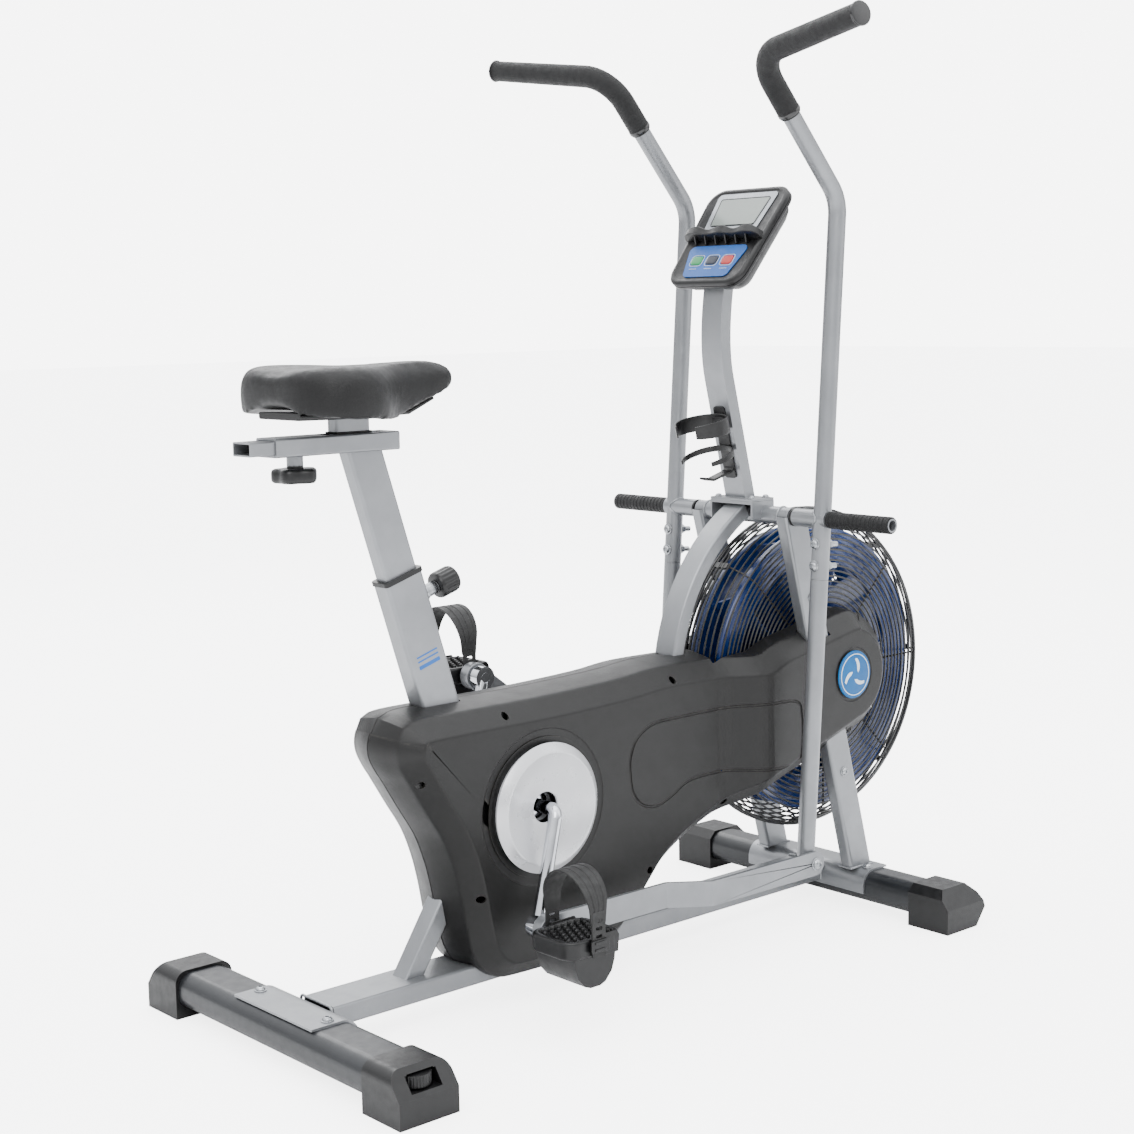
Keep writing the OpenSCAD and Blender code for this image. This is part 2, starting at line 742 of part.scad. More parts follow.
module pedal_axles() {
    color("silver") for (side = [[pin_right, 0], [pin_left, 1]]) on_left(side[1] == 1) {
        bar_y(side[0][0], side[0][1], -spindle_end, -crank_y + 7, 14);
        bar_y(side[0][0], side[0][1], -crank_y - 9.5, -crank_y - 7.2, 24);
    }
}

module pedal(pin, left) {
    out = -pedal_in - pedal_w;
    color([0.11, 0.11, 0.11]) on_left(left) translate([pin[0], 0, pin[1]]) difference() {
        union() {
            // Tread, with round corners
            translate([0, out + pedal_w / 2, -12]) linear_extrude(24)
                rounded(2 * pedal_half, pedal_w, 20);
            // Raised bars of the tread
            for (i = [-3 : 3]) translate([i * 11 - 3, out + 14, 11]) cube([6, pedal_w - 28, 4]);
            // Weight that keeps the tread upward
            plate_y(out + 4, pedal_w - 8) polygon([
                [-36, -8], [36, -8], [30, -38], [16, -54], [-16, -54], [-30, -38]
            ]);
        }
        bar_y(0, 0, out + 4, -pedal_in + 1, 14.6);
    }
}

// The strap crosses over the foot, from the pedal's inner side to its outer side
module strap(pin, left) {
    r = pedal_w / 2 + strap_t + 0.5;
    color([0.13, 0.13, 0.13]) on_left(left) translate([pin[0], 0, pin[1]]) difference() {
        translate([15, -pedal_in - pedal_w / 2, 0]) rotate([90, 0, -90]) linear_extrude(30) difference() {
            union() {
                translate([0, 50]) circle(r);
                translate([-r, -16]) square([2 * r, 66]);
            }
            translate([0, 50]) circle(r - strap_t);
            translate([-r + strap_t, -17]) square([2 * r - 2 * strap_t, 67]);
        }
        // Hole that the axle passes through
        bar_y(0, 0, -pedal_in - 5, -pedal_in + 8, 16);
    }
}

// Side outline of a link in its own frame: eye at the origin, far pivot at link_l
module link_body() {
    bend_start = 215;
    bend_end = 265;
    intersection() {
        translate([0, 0, -30]) linear_extrude(60) polygon([
            [-30, -link_in], [bend_start, -link_in], [bend_end, -link_out], [link_l + 30, -link_out],
            [link_l + 30, -link_out - link_t], [bend_end - 2, -link_out - link_t],
            [bend_start - 2, -link_in - link_t], [-30, -link_in - link_t]
        ]);
        plate_y(-200, 100) {
            translate([0, -link_h / 2]) square([link_l, link_h]);
            translate([link_l, 0]) circle(d = link_h);
            circle(d = link_h);
        }
    }
}

function link_angle(pin) = atan2(pin[1] - arm_end[1], arm_end[0] - pin[0]);

module link(pin, left) {
    color([0.68, 0.69, 0.7]) on_left(left) translate([pin[0], 0, pin[1]])
        rotate([0, link_angle(pin), 0]) difference() {
            union() {
                link_body();
                // Bearing housing around the pedal axle
                bar_y(0, 0, -138, -122, 38);
            }
            bar_y(0, 0, -140, -120, 15);
            bar_y(link_l, 0, -200, -150, 10.4);
        }
}

module link_bolt(pin, left) {
    color("silver") on_left(left) translate([arm_end[0], 0, arm_end[1]]) {
        bar_y(0, 0, -link_out - link_t - 1, -link_out - 0.5, 10);
        translate([0, -link_out - link_t - 0.05, 0]) rotate([90, 0, 0]) screw_head(15, 7);
    }
}

// ---- arms ----------------------------------------------------------------

// The tube's centre line, from the pivot to the tip of the grip, right side
function arm_path() = [
    [pivot_x, -arm_y, pivot_z],
    [bend_a[0], -arm_y, bend_a[1]],
    [grip_turn[0], -arm_y + 2, grip_turn[1]],
    [grip_tip[0], -grip_tip[1], grip_tip[2]]
];

module arm(left) {
    path = arm_path();
    down = [-sin(arm_lean), 0, -cos(arm_lean)];
    hub = [pivot_x, -arm_y, pivot_z];
    color([0.66, 0.67, 0.68]) on_left(left) difference() {
        union() {
            bent([path[0], path[1], path[2], path[3] - 6 * unit(path[3] - path[2])], 55, arm_d);
            rod(hub, hub + socket_low * down, arm_d);
            bar_y(pivot_x, pivot_z, -arm_y - 12.8, -sleeve_start, sleeve_d);
        }
        bar_y(pivot_x, pivot_z, -200, 0, sleeve_bore);
        rod(hub + 14 * down, hub + (socket_low + 1) * down, neck_d + 0.3);
        for (k = [35, 66]) arm_bolt_hole(k);
    }
}

module arm_bolt_hole(k) {
    down = [-sin(arm_lean), 0, -cos(arm_lean)];
    translate([pivot_x, -arm_y, pivot_z] + k * down) rotate([0, arm_lean, 0])
        translate([-25, 0, 0]) rotate([0, 90, 0]) cylinder(d = 8.4, h = 50);
}

module lever(left) {
    down = [-sin(arm_lean), 0, -cos(arm_lean)];
    hub = [pivot_x, -arm_y, pivot_z];
    color([0.66, 0.67, 0.68]) on_left(left) difference() {
        union() {
            rod(hub + 18 * down, hub + (socket_low + 4) * down, neck_d);
            rod(hub + (socket_low + 0.8) * down, hub + (lever_l + 13) * down, arm_d);
            bar_y(arm_end[0], arm_end[1], -arm_y - 12.5, -arm_y + 12.5, 22);
        }
        rod(hub + 17 * down, hub + (socket_low + 5) * down, neck_d - 2 * wall);
        rod(hub + (socket_low + 4) * down, hub + (lever_l - 14) * down, arm_d - 2 * wall);
        bar_y(arm_end[0], arm_end[1], -200, 0, 10.4);
        for (k = [35, 66]) arm_bolt_hole(k);
    }
}

module arm_bolts(left) {
    down = [-sin(arm_lean), 0, -cos(arm_lean)];
    color("silver") on_left(left) for (k = [35, 66])
        translate([pivot_x, -arm_y, pivot_z] + k * down) rotate([0, arm_lean, 0]) {
            translate([-arm_d / 2 - 0.3, 0, 0]) rotate([0, -90, 0]) screw_head(13, 6);
            translate([-arm_d / 2 - 0.5, 0, 0]) rotate([0, 90, 0]) cylinder(d = 8, h = arm_d + 9);
            translate([arm_d / 2 + 0.3, 0, 0]) rotate([0, 90, 0]) cylinder(d = 13, h = 6, $fn = 6);
        }
}

module grip(left) {
    path = arm_path();
    dir = unit(path[2] - path[1]);
    low = path[2] - dir * 97;
    tip = path[3];
    color([0.1, 0.1, 0.1]) on_left(left) difference() {
        bent([low, path[2], tip], 55, 32);
        bent([low - dir * 2, path[2], tip - 5 * unit(tip - path[2])], 55, arm_d + 0.2);
    }
}

module peg_sleeves() {
    color([0.1, 0.1, 0.1]) for (s = [0, 1]) on_left(s == 1) difference() {
        bar_y(pivot_x, pivot_z, -peg_end + 1, -peg_start, 24);
        bar_y(pivot_x, pivot_z, -peg_end - 1, -peg_start + 1, axle_d + 0.1);
    }
}

module axle_bushings() {
    color([0.12, 0.12, 0.12]) for (s = [0, 1]) on_left(s == 1) difference() {
        bar_y(pivot_x, pivot_z, -sleeve_start + 0.3, -96.2, 27);
        bar_y(pivot_x, pivot_z, -sleeve_start - 1, -90, axle_d + 0.2);
    }
}

// ---- fan -----------------------------------------------------------------

module fan_axle() {
    color("silver") {
        bar_y(fan_x, fan_z, -96, 96, 9.8);
        for (s = [-1, 1]) translate([fan_x, s * 89.2, fan_z]) rotate([-90 * s, 0, 0])
            difference() {
                cylinder(d = 17, h = 5.5, $fn = 6);
                translate([0, 0, -1]) cylinder(d = 9.7, h = 8);
            }
    }
}

module fan_wheel() {
    blades = 10;
    color([0.05, 0.16, 0.36]) difference() {
        union() {
            bar_y(fan_x, fan_z, -30, 30, 70);
            for (i = [0 : blades - 1]) translate([fan_x, 0, fan_z]) rotate([0, i * 360 / blades, 0])
                translate([30, 0, 0]) rotate([22, 0, 0]) translate([0, -30, -1.5])
                    cube([fan_r - 33, 60, 3]);
            for (y = [-26, 20]) difference() {
                bar_y(fan_x, fan_z, y, y + 6, 2 * fan_r);
                bar_y(fan_x, fan_z, y - 1, y + 7, 2 * fan_r - 26);
            }
        }
        bar_y(fan_x, fan_z, -40, 40, 26.2);
    }
}

module fan_pulley() {
    color([0.3, 0.3, 0.31]) difference() {
        union() {
            bar_y(fan_x, fan_z, -belt_y - belt_w / 2 - 1, -belt_y + belt_w / 2 + 1, 2 * fan_pulley_r + 6);
            bar_y(fan_x, fan_z, -belt_y, 34, 26);
        }
        difference() {
            bar_y(fan_x, fan_z, -belt_y - belt_w / 2, -belt_y + belt_w / 2, 2 * fan_pulley_r + 8);
            bar_y(fan_x, fan_z, -100, 100, 2 * fan_pulley_r);
        }
        bar_y(fan_x, fan_z, -100, 100, 10.4);
    }
}

// A ring about the fan axle between two radii and two places along Y
module bar_ring(outer, inner, y0, y1) {
    difference() {
        bar_y(fan_x, fan_z, y0, y1, 2 * outer);
        bar_y(fan_x, fan_z, y0 - 1, y1 + 1, 2 * inner);
    }
}

// The rib that carries the guard's face round to its rim: radius across, place along Y upward
module rib_outline() {
    high = guard_r - 0.7;
    y0 = 0.4 - guard_half;
    polygon([[197, y0], [204, y0], [high, -10.5], [high, -1], [high - 1.6, -1],
        [high - 1.6, -10], [203, y0 + 1.8], [197, y0 + 1.8]]);
}

module guard(left) {
    spokes = 12;
    step = 360 / spokes;
    color([0.1, 0.1, 0.1]) on_left(left) {
        // Face: wire hoops joined by spokes
        plate_y(-guard_half, guard_wire) translate([fan_x, fan_z]) {
            for (r = [hub_hole_r, 88, 114, 140, 166, 192, 207]) difference() {
                circle(r);
                circle(r - guard_wire);
            }
            for (i = [0 : spokes - 1]) rotate(i * step + 9) translate([hub_hole_r - 1.5, -1.2])
                square([144, 2.4]);
        }
        for (i = [0 : spokes - 1]) translate([fan_x, 0, fan_z]) rotate([0, -i * step - 9, 0])
            translate([0, 0, -0.9]) linear_extrude(1.8) rib_outline();
        bar_ring(229, 229 - guard_wire, -28.3, -25.7);
        bar_ring(guard_r, guard_r - guard_wire, -12, -9.4);
        bar_ring(guard_r, guard_r - guard_wire, -5, -0.2);
    }
}

// ---- console -------------------------------------------------------------

mast_seat_z = pivot_z + 20;
seat_back = 217;
mast_foot = [237.5, mast_seat_z];
mast_head = [198, 958];
// Where the straight part ends
mast_bend = [194, 808];

// The mast's centre line: straight to start with, then a gentle curve forward
function mast_at(t) =
    t < 0.5 ? mast_foot + (mast_bend - mast_foot) * 2 * t
    : let (q = 2 * t - 1)
        mast_bend * (1 - q) ^ 2 + 2 * [180, 864] * q * (1 - q) + mast_head * q ^ 2;

function mast_side(t, s) =
    let (d = unit(mast_at(min(t + 0.01, 1)) - mast_at(max(t - 0.01, 0))))
    mast_at(t) + s * 10 * [d[1], -d[0]];

module mast_outline() {
    steps = [0, for (i = [10 : 20]) i / 20];
    n = len(steps) - 1;
    polygon(concat(
        [for (t = steps) mast_side(t, -1)],
        [for (i = [0 : n]) mast_side(steps[n - i], 1)]
    ));
}

module console_mast() {
    color([0.66, 0.67, 0.68]) {
        intersection() {
            plate_y(-20, 40) mast_outline();
            translate([0, -60, mast_seat_z + 2]) cube([400, 120, 500]);
        }
        translate([seat_back, -42, mast_seat_z + 0.1]) cube([46, 84, 4]);
    }
}

module console_outline(grow = 0) {
    rounded(console_w + 2 * grow, console_h + 2 * grow, 26 + grow);
}

module console_back() {
    color([0.12, 0.12, 0.12]) difference() {
        on_console() translate([0, 0, -bezel_t - back_t]) linear_extrude(back_t - 0.1)
            offset(delta = -8) console_outline();
        on_console() translate([0, 0, -bezel_t - back_t + 2.5]) linear_extrude(back_t)
            offset(delta = -11) console_outline();
        plate_y(-21, 42) offset(delta = 1) mast_outline();
    }
}

module console_front() {
    color([0.12, 0.12, 0.12]) on_console() difference() {
        translate([0, 0, -bezel_t]) linear_extrude(bezel_t) console_outline();
        translate([0, 0, -bezel_t - 1]) linear_extrude(bezel_t - 1.5) offset(delta = -2.5) console_outline();
        translate([0, 42, -3]) linear_extrude(4) rounded(92, 50, 3);
        for (x = [-30, 0, 30]) translate([x, button_v, -20]) cylinder(d = 13, h = 30);
        translate([-62, -10, -3]) cube([124, 4, 4]);
    }
}

module display_lens() {
    color([0.5, 0.54, 0.5]) on_console() translate([0, 42, -2.4]) linear_extrude(2) rounded(91.4, 49.4, 2.8);
}

module phone_ledge() {
    color([0.1, 0.1, 0.1]) on_console() {
        translate([-76, -9.8, 0.1]) cube([152, 3.6, 16]);
        translate([-76, -7, 14]) cube([152, 8, 3]);
        translate([-61, -9.8, -2.6]) cube([122, 3.6, 4]);
    }
}

module button(x, tone) {
    color(tone) on_console() translate([x, button_v, -7]) {
        cylinder(d = 12.4, h = 8.6);
        cylinder(d = 15, h = 2);
    }
}

// ---- bottle holder -------------------------------------------------------

module bottle_holder() {
    lean = atan2(mast_foot[0] - mast_bend[0], mast_bend[1] - mast_foot[1]);
    color([0.08, 0.08, 0.08]) translate([mast_foot[0], 0, mast_foot[1]]) rotate([0, -lean, 0]) {
        translate([-14.5, -11, 38]) cube([4.2, 22, 108]);
        // Open ring that grips the bottle
        translate([-52, 0, 118]) rotate_extrude(angle = 300, start = -150)
            translate([37, -7]) square([3, 22]);
        translate([-44, -10, 34]) cube([32, 20, 5]);
    }
}

main_frame();
rear_stabilizer();
front_stabilizer();
rear_cap(false);  // rear_cap_right
rear_cap(true);  // rear_cap_left
front_cap(false);  // front_cap_right
front_cap(true);  // front_cap_left
levelling_foot(false);  // levelling_foot_right
levelling_foot(true);  // levelling_foot_left
transport_wheel(false);  // transport_wheel_right
transport_wheel(true);  // transport_wheel_left
frame_bolts();
sleeve_collar();
seat_post();
seat_slider();
saddle();
slider_knob();
post_knob();
cover_side(false);  // cover_right
cover_side(true);  // cover_left
crank_discs();
badge_right();
bottom_bracket_cups();
crank();
drive_pulley();
drive_belt();
pedal_axles();
pedal(pin_right, false);  // pedal_right
pedal(pin_left, true);  // pedal_left
strap(pin_right, false);  // strap_right
strap(pin_left, true);  // strap_left
link(pin_right, false);  // link_right
link(pin_left, true);  // link_left
link_bolt(pin_right, false);  // link_bolt_right
link_bolt(pin_left, true);  // link_bolt_left
arm(false);  // arm_right
arm(true);  // arm_left
lever(false);  // lever_right
lever(true);  // lever_left
arm_bolts(false);  // arm_bolts_right
arm_bolts(true);  // arm_bolts_left
grip(false);  // grip_right
grip(true);  // grip_left
peg_sleeves();
axle_bushings();
fan_axle();
fan_wheel();
fan_pulley();
guard(false);  // guard_right
guard(true);  // guard_left
console_mast();
console_back();
console_front();
display_lens();
phone_ledge();
button(30, [0.2, 0.65, 0.3]);  // button_start
button(0, [0.1, 0.12, 0.2]);  // button_mode
button(-30, [0.8, 0.2, 0.15]);  // button_reset
bottle_holder();
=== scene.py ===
import math

import bmesh
import bpy
from mathutils import Matrix, Vector


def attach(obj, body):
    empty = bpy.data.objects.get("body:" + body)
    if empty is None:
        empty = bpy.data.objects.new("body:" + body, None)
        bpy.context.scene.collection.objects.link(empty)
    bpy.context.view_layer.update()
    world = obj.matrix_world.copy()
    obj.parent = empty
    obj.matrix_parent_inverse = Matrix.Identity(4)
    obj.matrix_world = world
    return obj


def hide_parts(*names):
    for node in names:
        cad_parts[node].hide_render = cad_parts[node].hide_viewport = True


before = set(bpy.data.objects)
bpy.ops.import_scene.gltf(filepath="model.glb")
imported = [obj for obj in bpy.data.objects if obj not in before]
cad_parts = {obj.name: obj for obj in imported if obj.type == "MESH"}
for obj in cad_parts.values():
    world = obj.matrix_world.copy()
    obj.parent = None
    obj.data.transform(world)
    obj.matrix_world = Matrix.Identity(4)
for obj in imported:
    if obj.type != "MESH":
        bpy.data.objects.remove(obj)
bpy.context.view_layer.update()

# Air bike. Shapes are drawn in millimetres in the frame's own axes:
# +X forward, +Y to the rider's left, +Z up. The right-hand side is at -Y.
MM = 0.001
CRANK = (-214.0, 263.0)
FAN = (368.5, 364.0)
PIVOT = (248.0, 609.0)
ARM_Y = 148.5
CONSOLE_AT = Vector((211.0, 0.0, 1012.0))
CONSOLE_TILT = math.radians(39)
SEAT_LEAN = math.radians(17.4)
SEAT_BASE = Vector((-336, 0, 411))
SEAT_UP = Vector((-math.sin(SEAT_LEAN), 0, math.cos(SEAT_LEAN)))
SEAT_FORE = Vector((math.cos(SEAT_LEAN), 0, math.sin(SEAT_LEAN)))
FORK_LOW = Vector((397.5, 0, 63))
FORK_TOP = Vector((252, 0, 609))
FORK_UP = (FORK_TOP - FORK_LOW).normalized()
FORK_SIDE = Vector((FORK_UP.z, 0, -FORK_UP.x))
ARM_BODIES = ("arm_right_body", "arm_left_body")
LINK_BODIES = ("link_right_body", "link_left_body")


# ---- small maths ----

def lin(r, g, b):
    """An 8-bit display colour as linear values."""
    def one(c):
        return c / 255 / 12.92 if c < 11 else ((c / 255 + 0.055) / 1.055) ** 2.4

    return (one(r), one(g), one(b), 1.0)


def mix(a, b, t):
    return a + (b - a) * t


def step01(x, lo, hi):
    t = min(max((x - lo) / (hi - lo), 0.0), 1.0)
    return t * t * (3 - 2 * t)


def curve(points, per=8, closed=False):
    """A smooth curve through the points (Catmull-Rom)."""
    pts = [Vector(p) for p in points]
    n = len(pts)
    out = []
    for i in range(n if closed else n - 1):
        p1, p2 = pts[i], pts[(i + 1) % n]
        p0 = pts[i - 1] if (closed or i > 0) else p1 * 2 - p2
        p3 = pts[(i + 2) % n] if (closed or i < n - 2) else p2 * 2 - p1
        for k in range(per):
            t = k / per
            out.append(0.5 * (2 * p1 + (p2 - p0) * t + (2 * p0 - 5 * p1 + 4 * p2 - p3) * t ** 2
                              + (3 * p1 - 3 * p2 + p3 - p0) * t ** 3))
    if not closed:
        out.append(pts[-1])
    return out


def fillet(points, radius, per=8):
    """A path with round bends at its inner points."""
    pts = [Vector(p) for p in points]
    out = [pts[0]]
    for a, b, c in zip(pts, pts[1:], pts[2:]):
        u, v = (a - b).normalized(), (c - b).normalized()
        if (u + v).length < 0.02:
            out.append(b)
            continue
        half = u.angle(v) / 2
        cut = min(radius / math.tan(half), (a - b).length * 0.49, (c - b).length * 0.49)
        r = cut * math.tan(half)
        mid = b + (u + v).normalized() * (r / math.sin(half))
        p, q = b + u * cut - mid, b + v * cut - mid
        turn = p.angle(q)
        for k in range(per + 1):
            t = k / per
            w = (math.sin((1 - t) * turn) * p + math.sin(t * turn) * q) / math.sin(turn)
            out.append(mid + w)
    out.append(pts[-1])
    return out


def circle2(r, n=24, cx=0.0, cy=0.0, a0=0.0, a1=360.0):
    full = abs(a1 - a0) >= 360
    count = n if full else n + 1
    angles = [math.radians(mix(a0, a1, i / n)) for i in range(count)]
    return [(cx + r * math.cos(a), cy + r * math.sin(a)) for a in angles]


def round_rect(w, h, r, n=6, top=None):
    """A rounded rectangle, w wide below and top wide above."""
    top = w if top is None else top
    out = []
    for sx, sy, a in ((1, 1, 0), (-1, 1, 90), (-1, -1, 180), (1, -1, 270)):
        half = (top if sy > 0 else w) / 2
        out += circle2(r, n, sx * (half - r), sy * (h / 2 - r), a, a + 90)
    return out


# ---- mesh building ----

def new():
    return bmesh.new()


def axes_for(direction, up=None):
    z = Vector(direction).normalized()
    if up is None:
        up = (0, 0, 1) if abs(z.z) < 0.9 else (1, 0, 0)
    x = Vector(up)
    x = (x - z * x.dot(z)).normalized()
    return x, z.cross(x), z


def bridge(b, rings, closed=False, caps=True):
    """Faces between rows of vertices."""
    n = len(rings[0])
    pairs = list(zip(rings, rings[1:])) + ([(rings[-1], rings[0])] if closed else [])
    for lo, hi in pairs:
        for i in range(n):
            j = (i + 1) % n
            b.faces.new((lo[i], lo[j], hi[j], hi[i]))
    if caps and not closed:
        b.faces.new(list(reversed(rings[0])))
        b.faces.new(rings[-1])


def sweep(b, path, section, closed=False, up=None, scale=None):
    """Sweeps a section along a path, without twist."""
    path = [Vector(p) for p in path]
    n = len(path)
    rings = []
    x_axis = None
    for i, p in enumerate(path):
        before = path[i - 1] if (i or closed) else p
        after = path[(i + 1) % n] if (i < n - 1 or closed) else p
        d = (after - before).normalized()
        if x_axis is None or up is not None:
            x_axis = axes_for(d, up)[0]
        else:
            x_axis = (x_axis - d * x_axis.dot(d)).normalized()
        y_axis = d.cross(x_axis)
        k = scale(i / max(n - 1, 1)) if scale else 1.0
        rings.append([b.verts.new(p + (x_axis * u + y_axis * v) * k) for u, v in section])
    bridge(b, rings, closed)


def lathe(b, profile, origin, axis, n=48, closed=False):
    """Turns a profile of (radius, height) about an axis."""
    x, y, z = axes_for(axis)
    origin = Vector(origin)
    rings = []
    for r, h in profile:
        r = max(r, 0.02)
        rings.append([b.verts.new(origin + z * h + (x * math.cos(a) + y * math.sin(a)) * r)
                      for a in (2 * math.pi * i / n for i in range(n))])
    bridge(b, rings, closed, caps=not closed)


def prism(b, outline, origin, u, v, depth):
    """An outline in the u, v plane, pushed through by depth (a vector)."""
    origin, u, v, depth = Vector(origin), Vector(u), Vector(v), Vector(depth)
    lo = [b.verts.new(origin + u * p + v * q) for p, q in outline]
    hi = [b.verts.new(w.co + depth) for w in lo]
    bridge(b, [lo, hi])


def block(b, lo, hi):
    prism(b, [(lo[0], lo[1]), (hi[0], lo[1]), (hi[0], hi[1]), (lo[0], hi[1])], (0, 0, lo[2]),
          (1, 0, 0), (0, 1, 0), (0, 0, hi[2] - lo[2]))


def bolt(b, at, axis, d, h):
    """A domed screw on its washer, with a hexagon socket."""
    r = d / 2
    lathe(b, [(r * 1.25, 0), (r * 1.25, 1.1), (r * 1.18, 1.4), (r * 0.8, 1.4)], at, axis, 28)
    angles = [math.radians(a) for a in range(0, 64, 9)]
    dome = [(r * math.cos(a), 1.6 + (h - 1.6) * math.sin(a)) for a in angles]
    lathe(b, [(r * 0.9, 1.3)] + dome + [(r * 0.42, h - 0.5), (r * 0.40, h - 2.2)], at, axis, 28)


def mirrored(b):
    """A copy of the mesh on the other side of the centre plane."""
    other = b.copy()
    for v in other.verts:
        v.co.y = -v.co.y
    bmesh.ops.reverse_faces(other, faces=other.faces)
    return other


def joined(parts):
    """One mesh out of several."""
    whole = new()
    for b in parts:
        mesh = bpy.data.meshes.new("part")
        b.to_mesh(mesh)
        whole.from_mesh(mesh)
        b.free()
    return whole


def to_object(b, name):
    """Welds the mesh, turns its faces outward and puts it in the scene in metres."""
    bmesh.ops.remove_doubles(b, verts=b.verts, dist=0.002)
    bmesh.ops.recalc_face_normals(b, faces=b.faces)
    bmesh.ops.scale(b, vec=(MM, MM, MM), verts=b.verts)
    mesh = bpy.data.meshes.new(name)
    b.to_mesh(mesh)
    b.free()
    obj = bpy.data.objects.new(name, mesh)
    bpy.context.scene.collection.objects.link(obj)
    return obj


def shade(obj, sharp=38):
    """Smooth faces, with sharp edges where faces meet at more than the angle."""
    b = bmesh.new()
    b.from_mesh(obj.data)
    for f in b.faces:
        f.smooth = True
    for e in b.edges:
        e.smooth = not (len(e.link_faces) == 2 and e.calc_face_angle(0) > math.radians(sharp))
    b.to_mesh(obj.data)
    b.free()


def soften(obj, width, segments=2, angle=32):
    """Rounds the edges of a hard part a little, as a press or a mould does."""
    m = obj.modifiers.new("edge", "BEVEL")
    m.width, m.segments, m.limit_method, m.angle_limit = width * MM, segments, "ANGLE", math.radians(angle)
    m.use_clamp_overlap = True
    m.miter_outer = "MITER_ARC"
    w = obj.modifiers.new("normals", "WEIGHTED_NORMAL")
    w.keep_sharp = False
    w.weight = 80


def apply_modifiers(obj):
    bpy.context.view_layer.update()
    graph = bpy.context.evaluated_depsgraph_get()
    mesh = bpy.data.meshes.new_from_object(obj.evaluated_get(graph))
    obj.modifiers.clear()
    old = obj.data
    obj.data = mesh
    bpy.data.meshes.remove(old)


def place(obj, mat, body, nodes=(), edge=0.0, sub=0, sharp=38, level=False):
    """Gives a piece its material and body, and hides the CAD nodes that it stands for."""
    obj.data.materials.clear()
    obj.data.materials.append(mat)
    shade(obj, sharp)
    if level:
        w = obj.modifiers.new("normals", "WEIGHTED_NORMAL")
        w.keep_sharp, w.weight = True, 90
    if sub:
        m = obj.modifiers.new("sub", "SUBSURF")
        m.levels = m.render_levels = sub
    if edge:
        soften(obj, edge)
    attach(obj, body)
    if nodes:
        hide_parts(*nodes)
    return obj


def piece(b, name, mat, body, nodes=(), slot=None, edge=0.0, sub=0, sharp=38):
    return place(to_object(b, name), mat, body, nodes, edge, sub, sharp)


def both_sides(build, name, mat, bodies, nodes=None, **more):
    """Builds a right-hand piece and its mirror image."""
    for k, side in enumerate(("right", "left")):
        b = build()
        if k:
            b2 = mirrored(b)
            b.free()
            b = b2
        body = bodies if isinstance(bodies, str) else bodies[k]
        piece(b, f"{name}_{side}", mat, body, [f"{n}_{side}" for n in (nodes or ())], **more)


# ---- materials ----

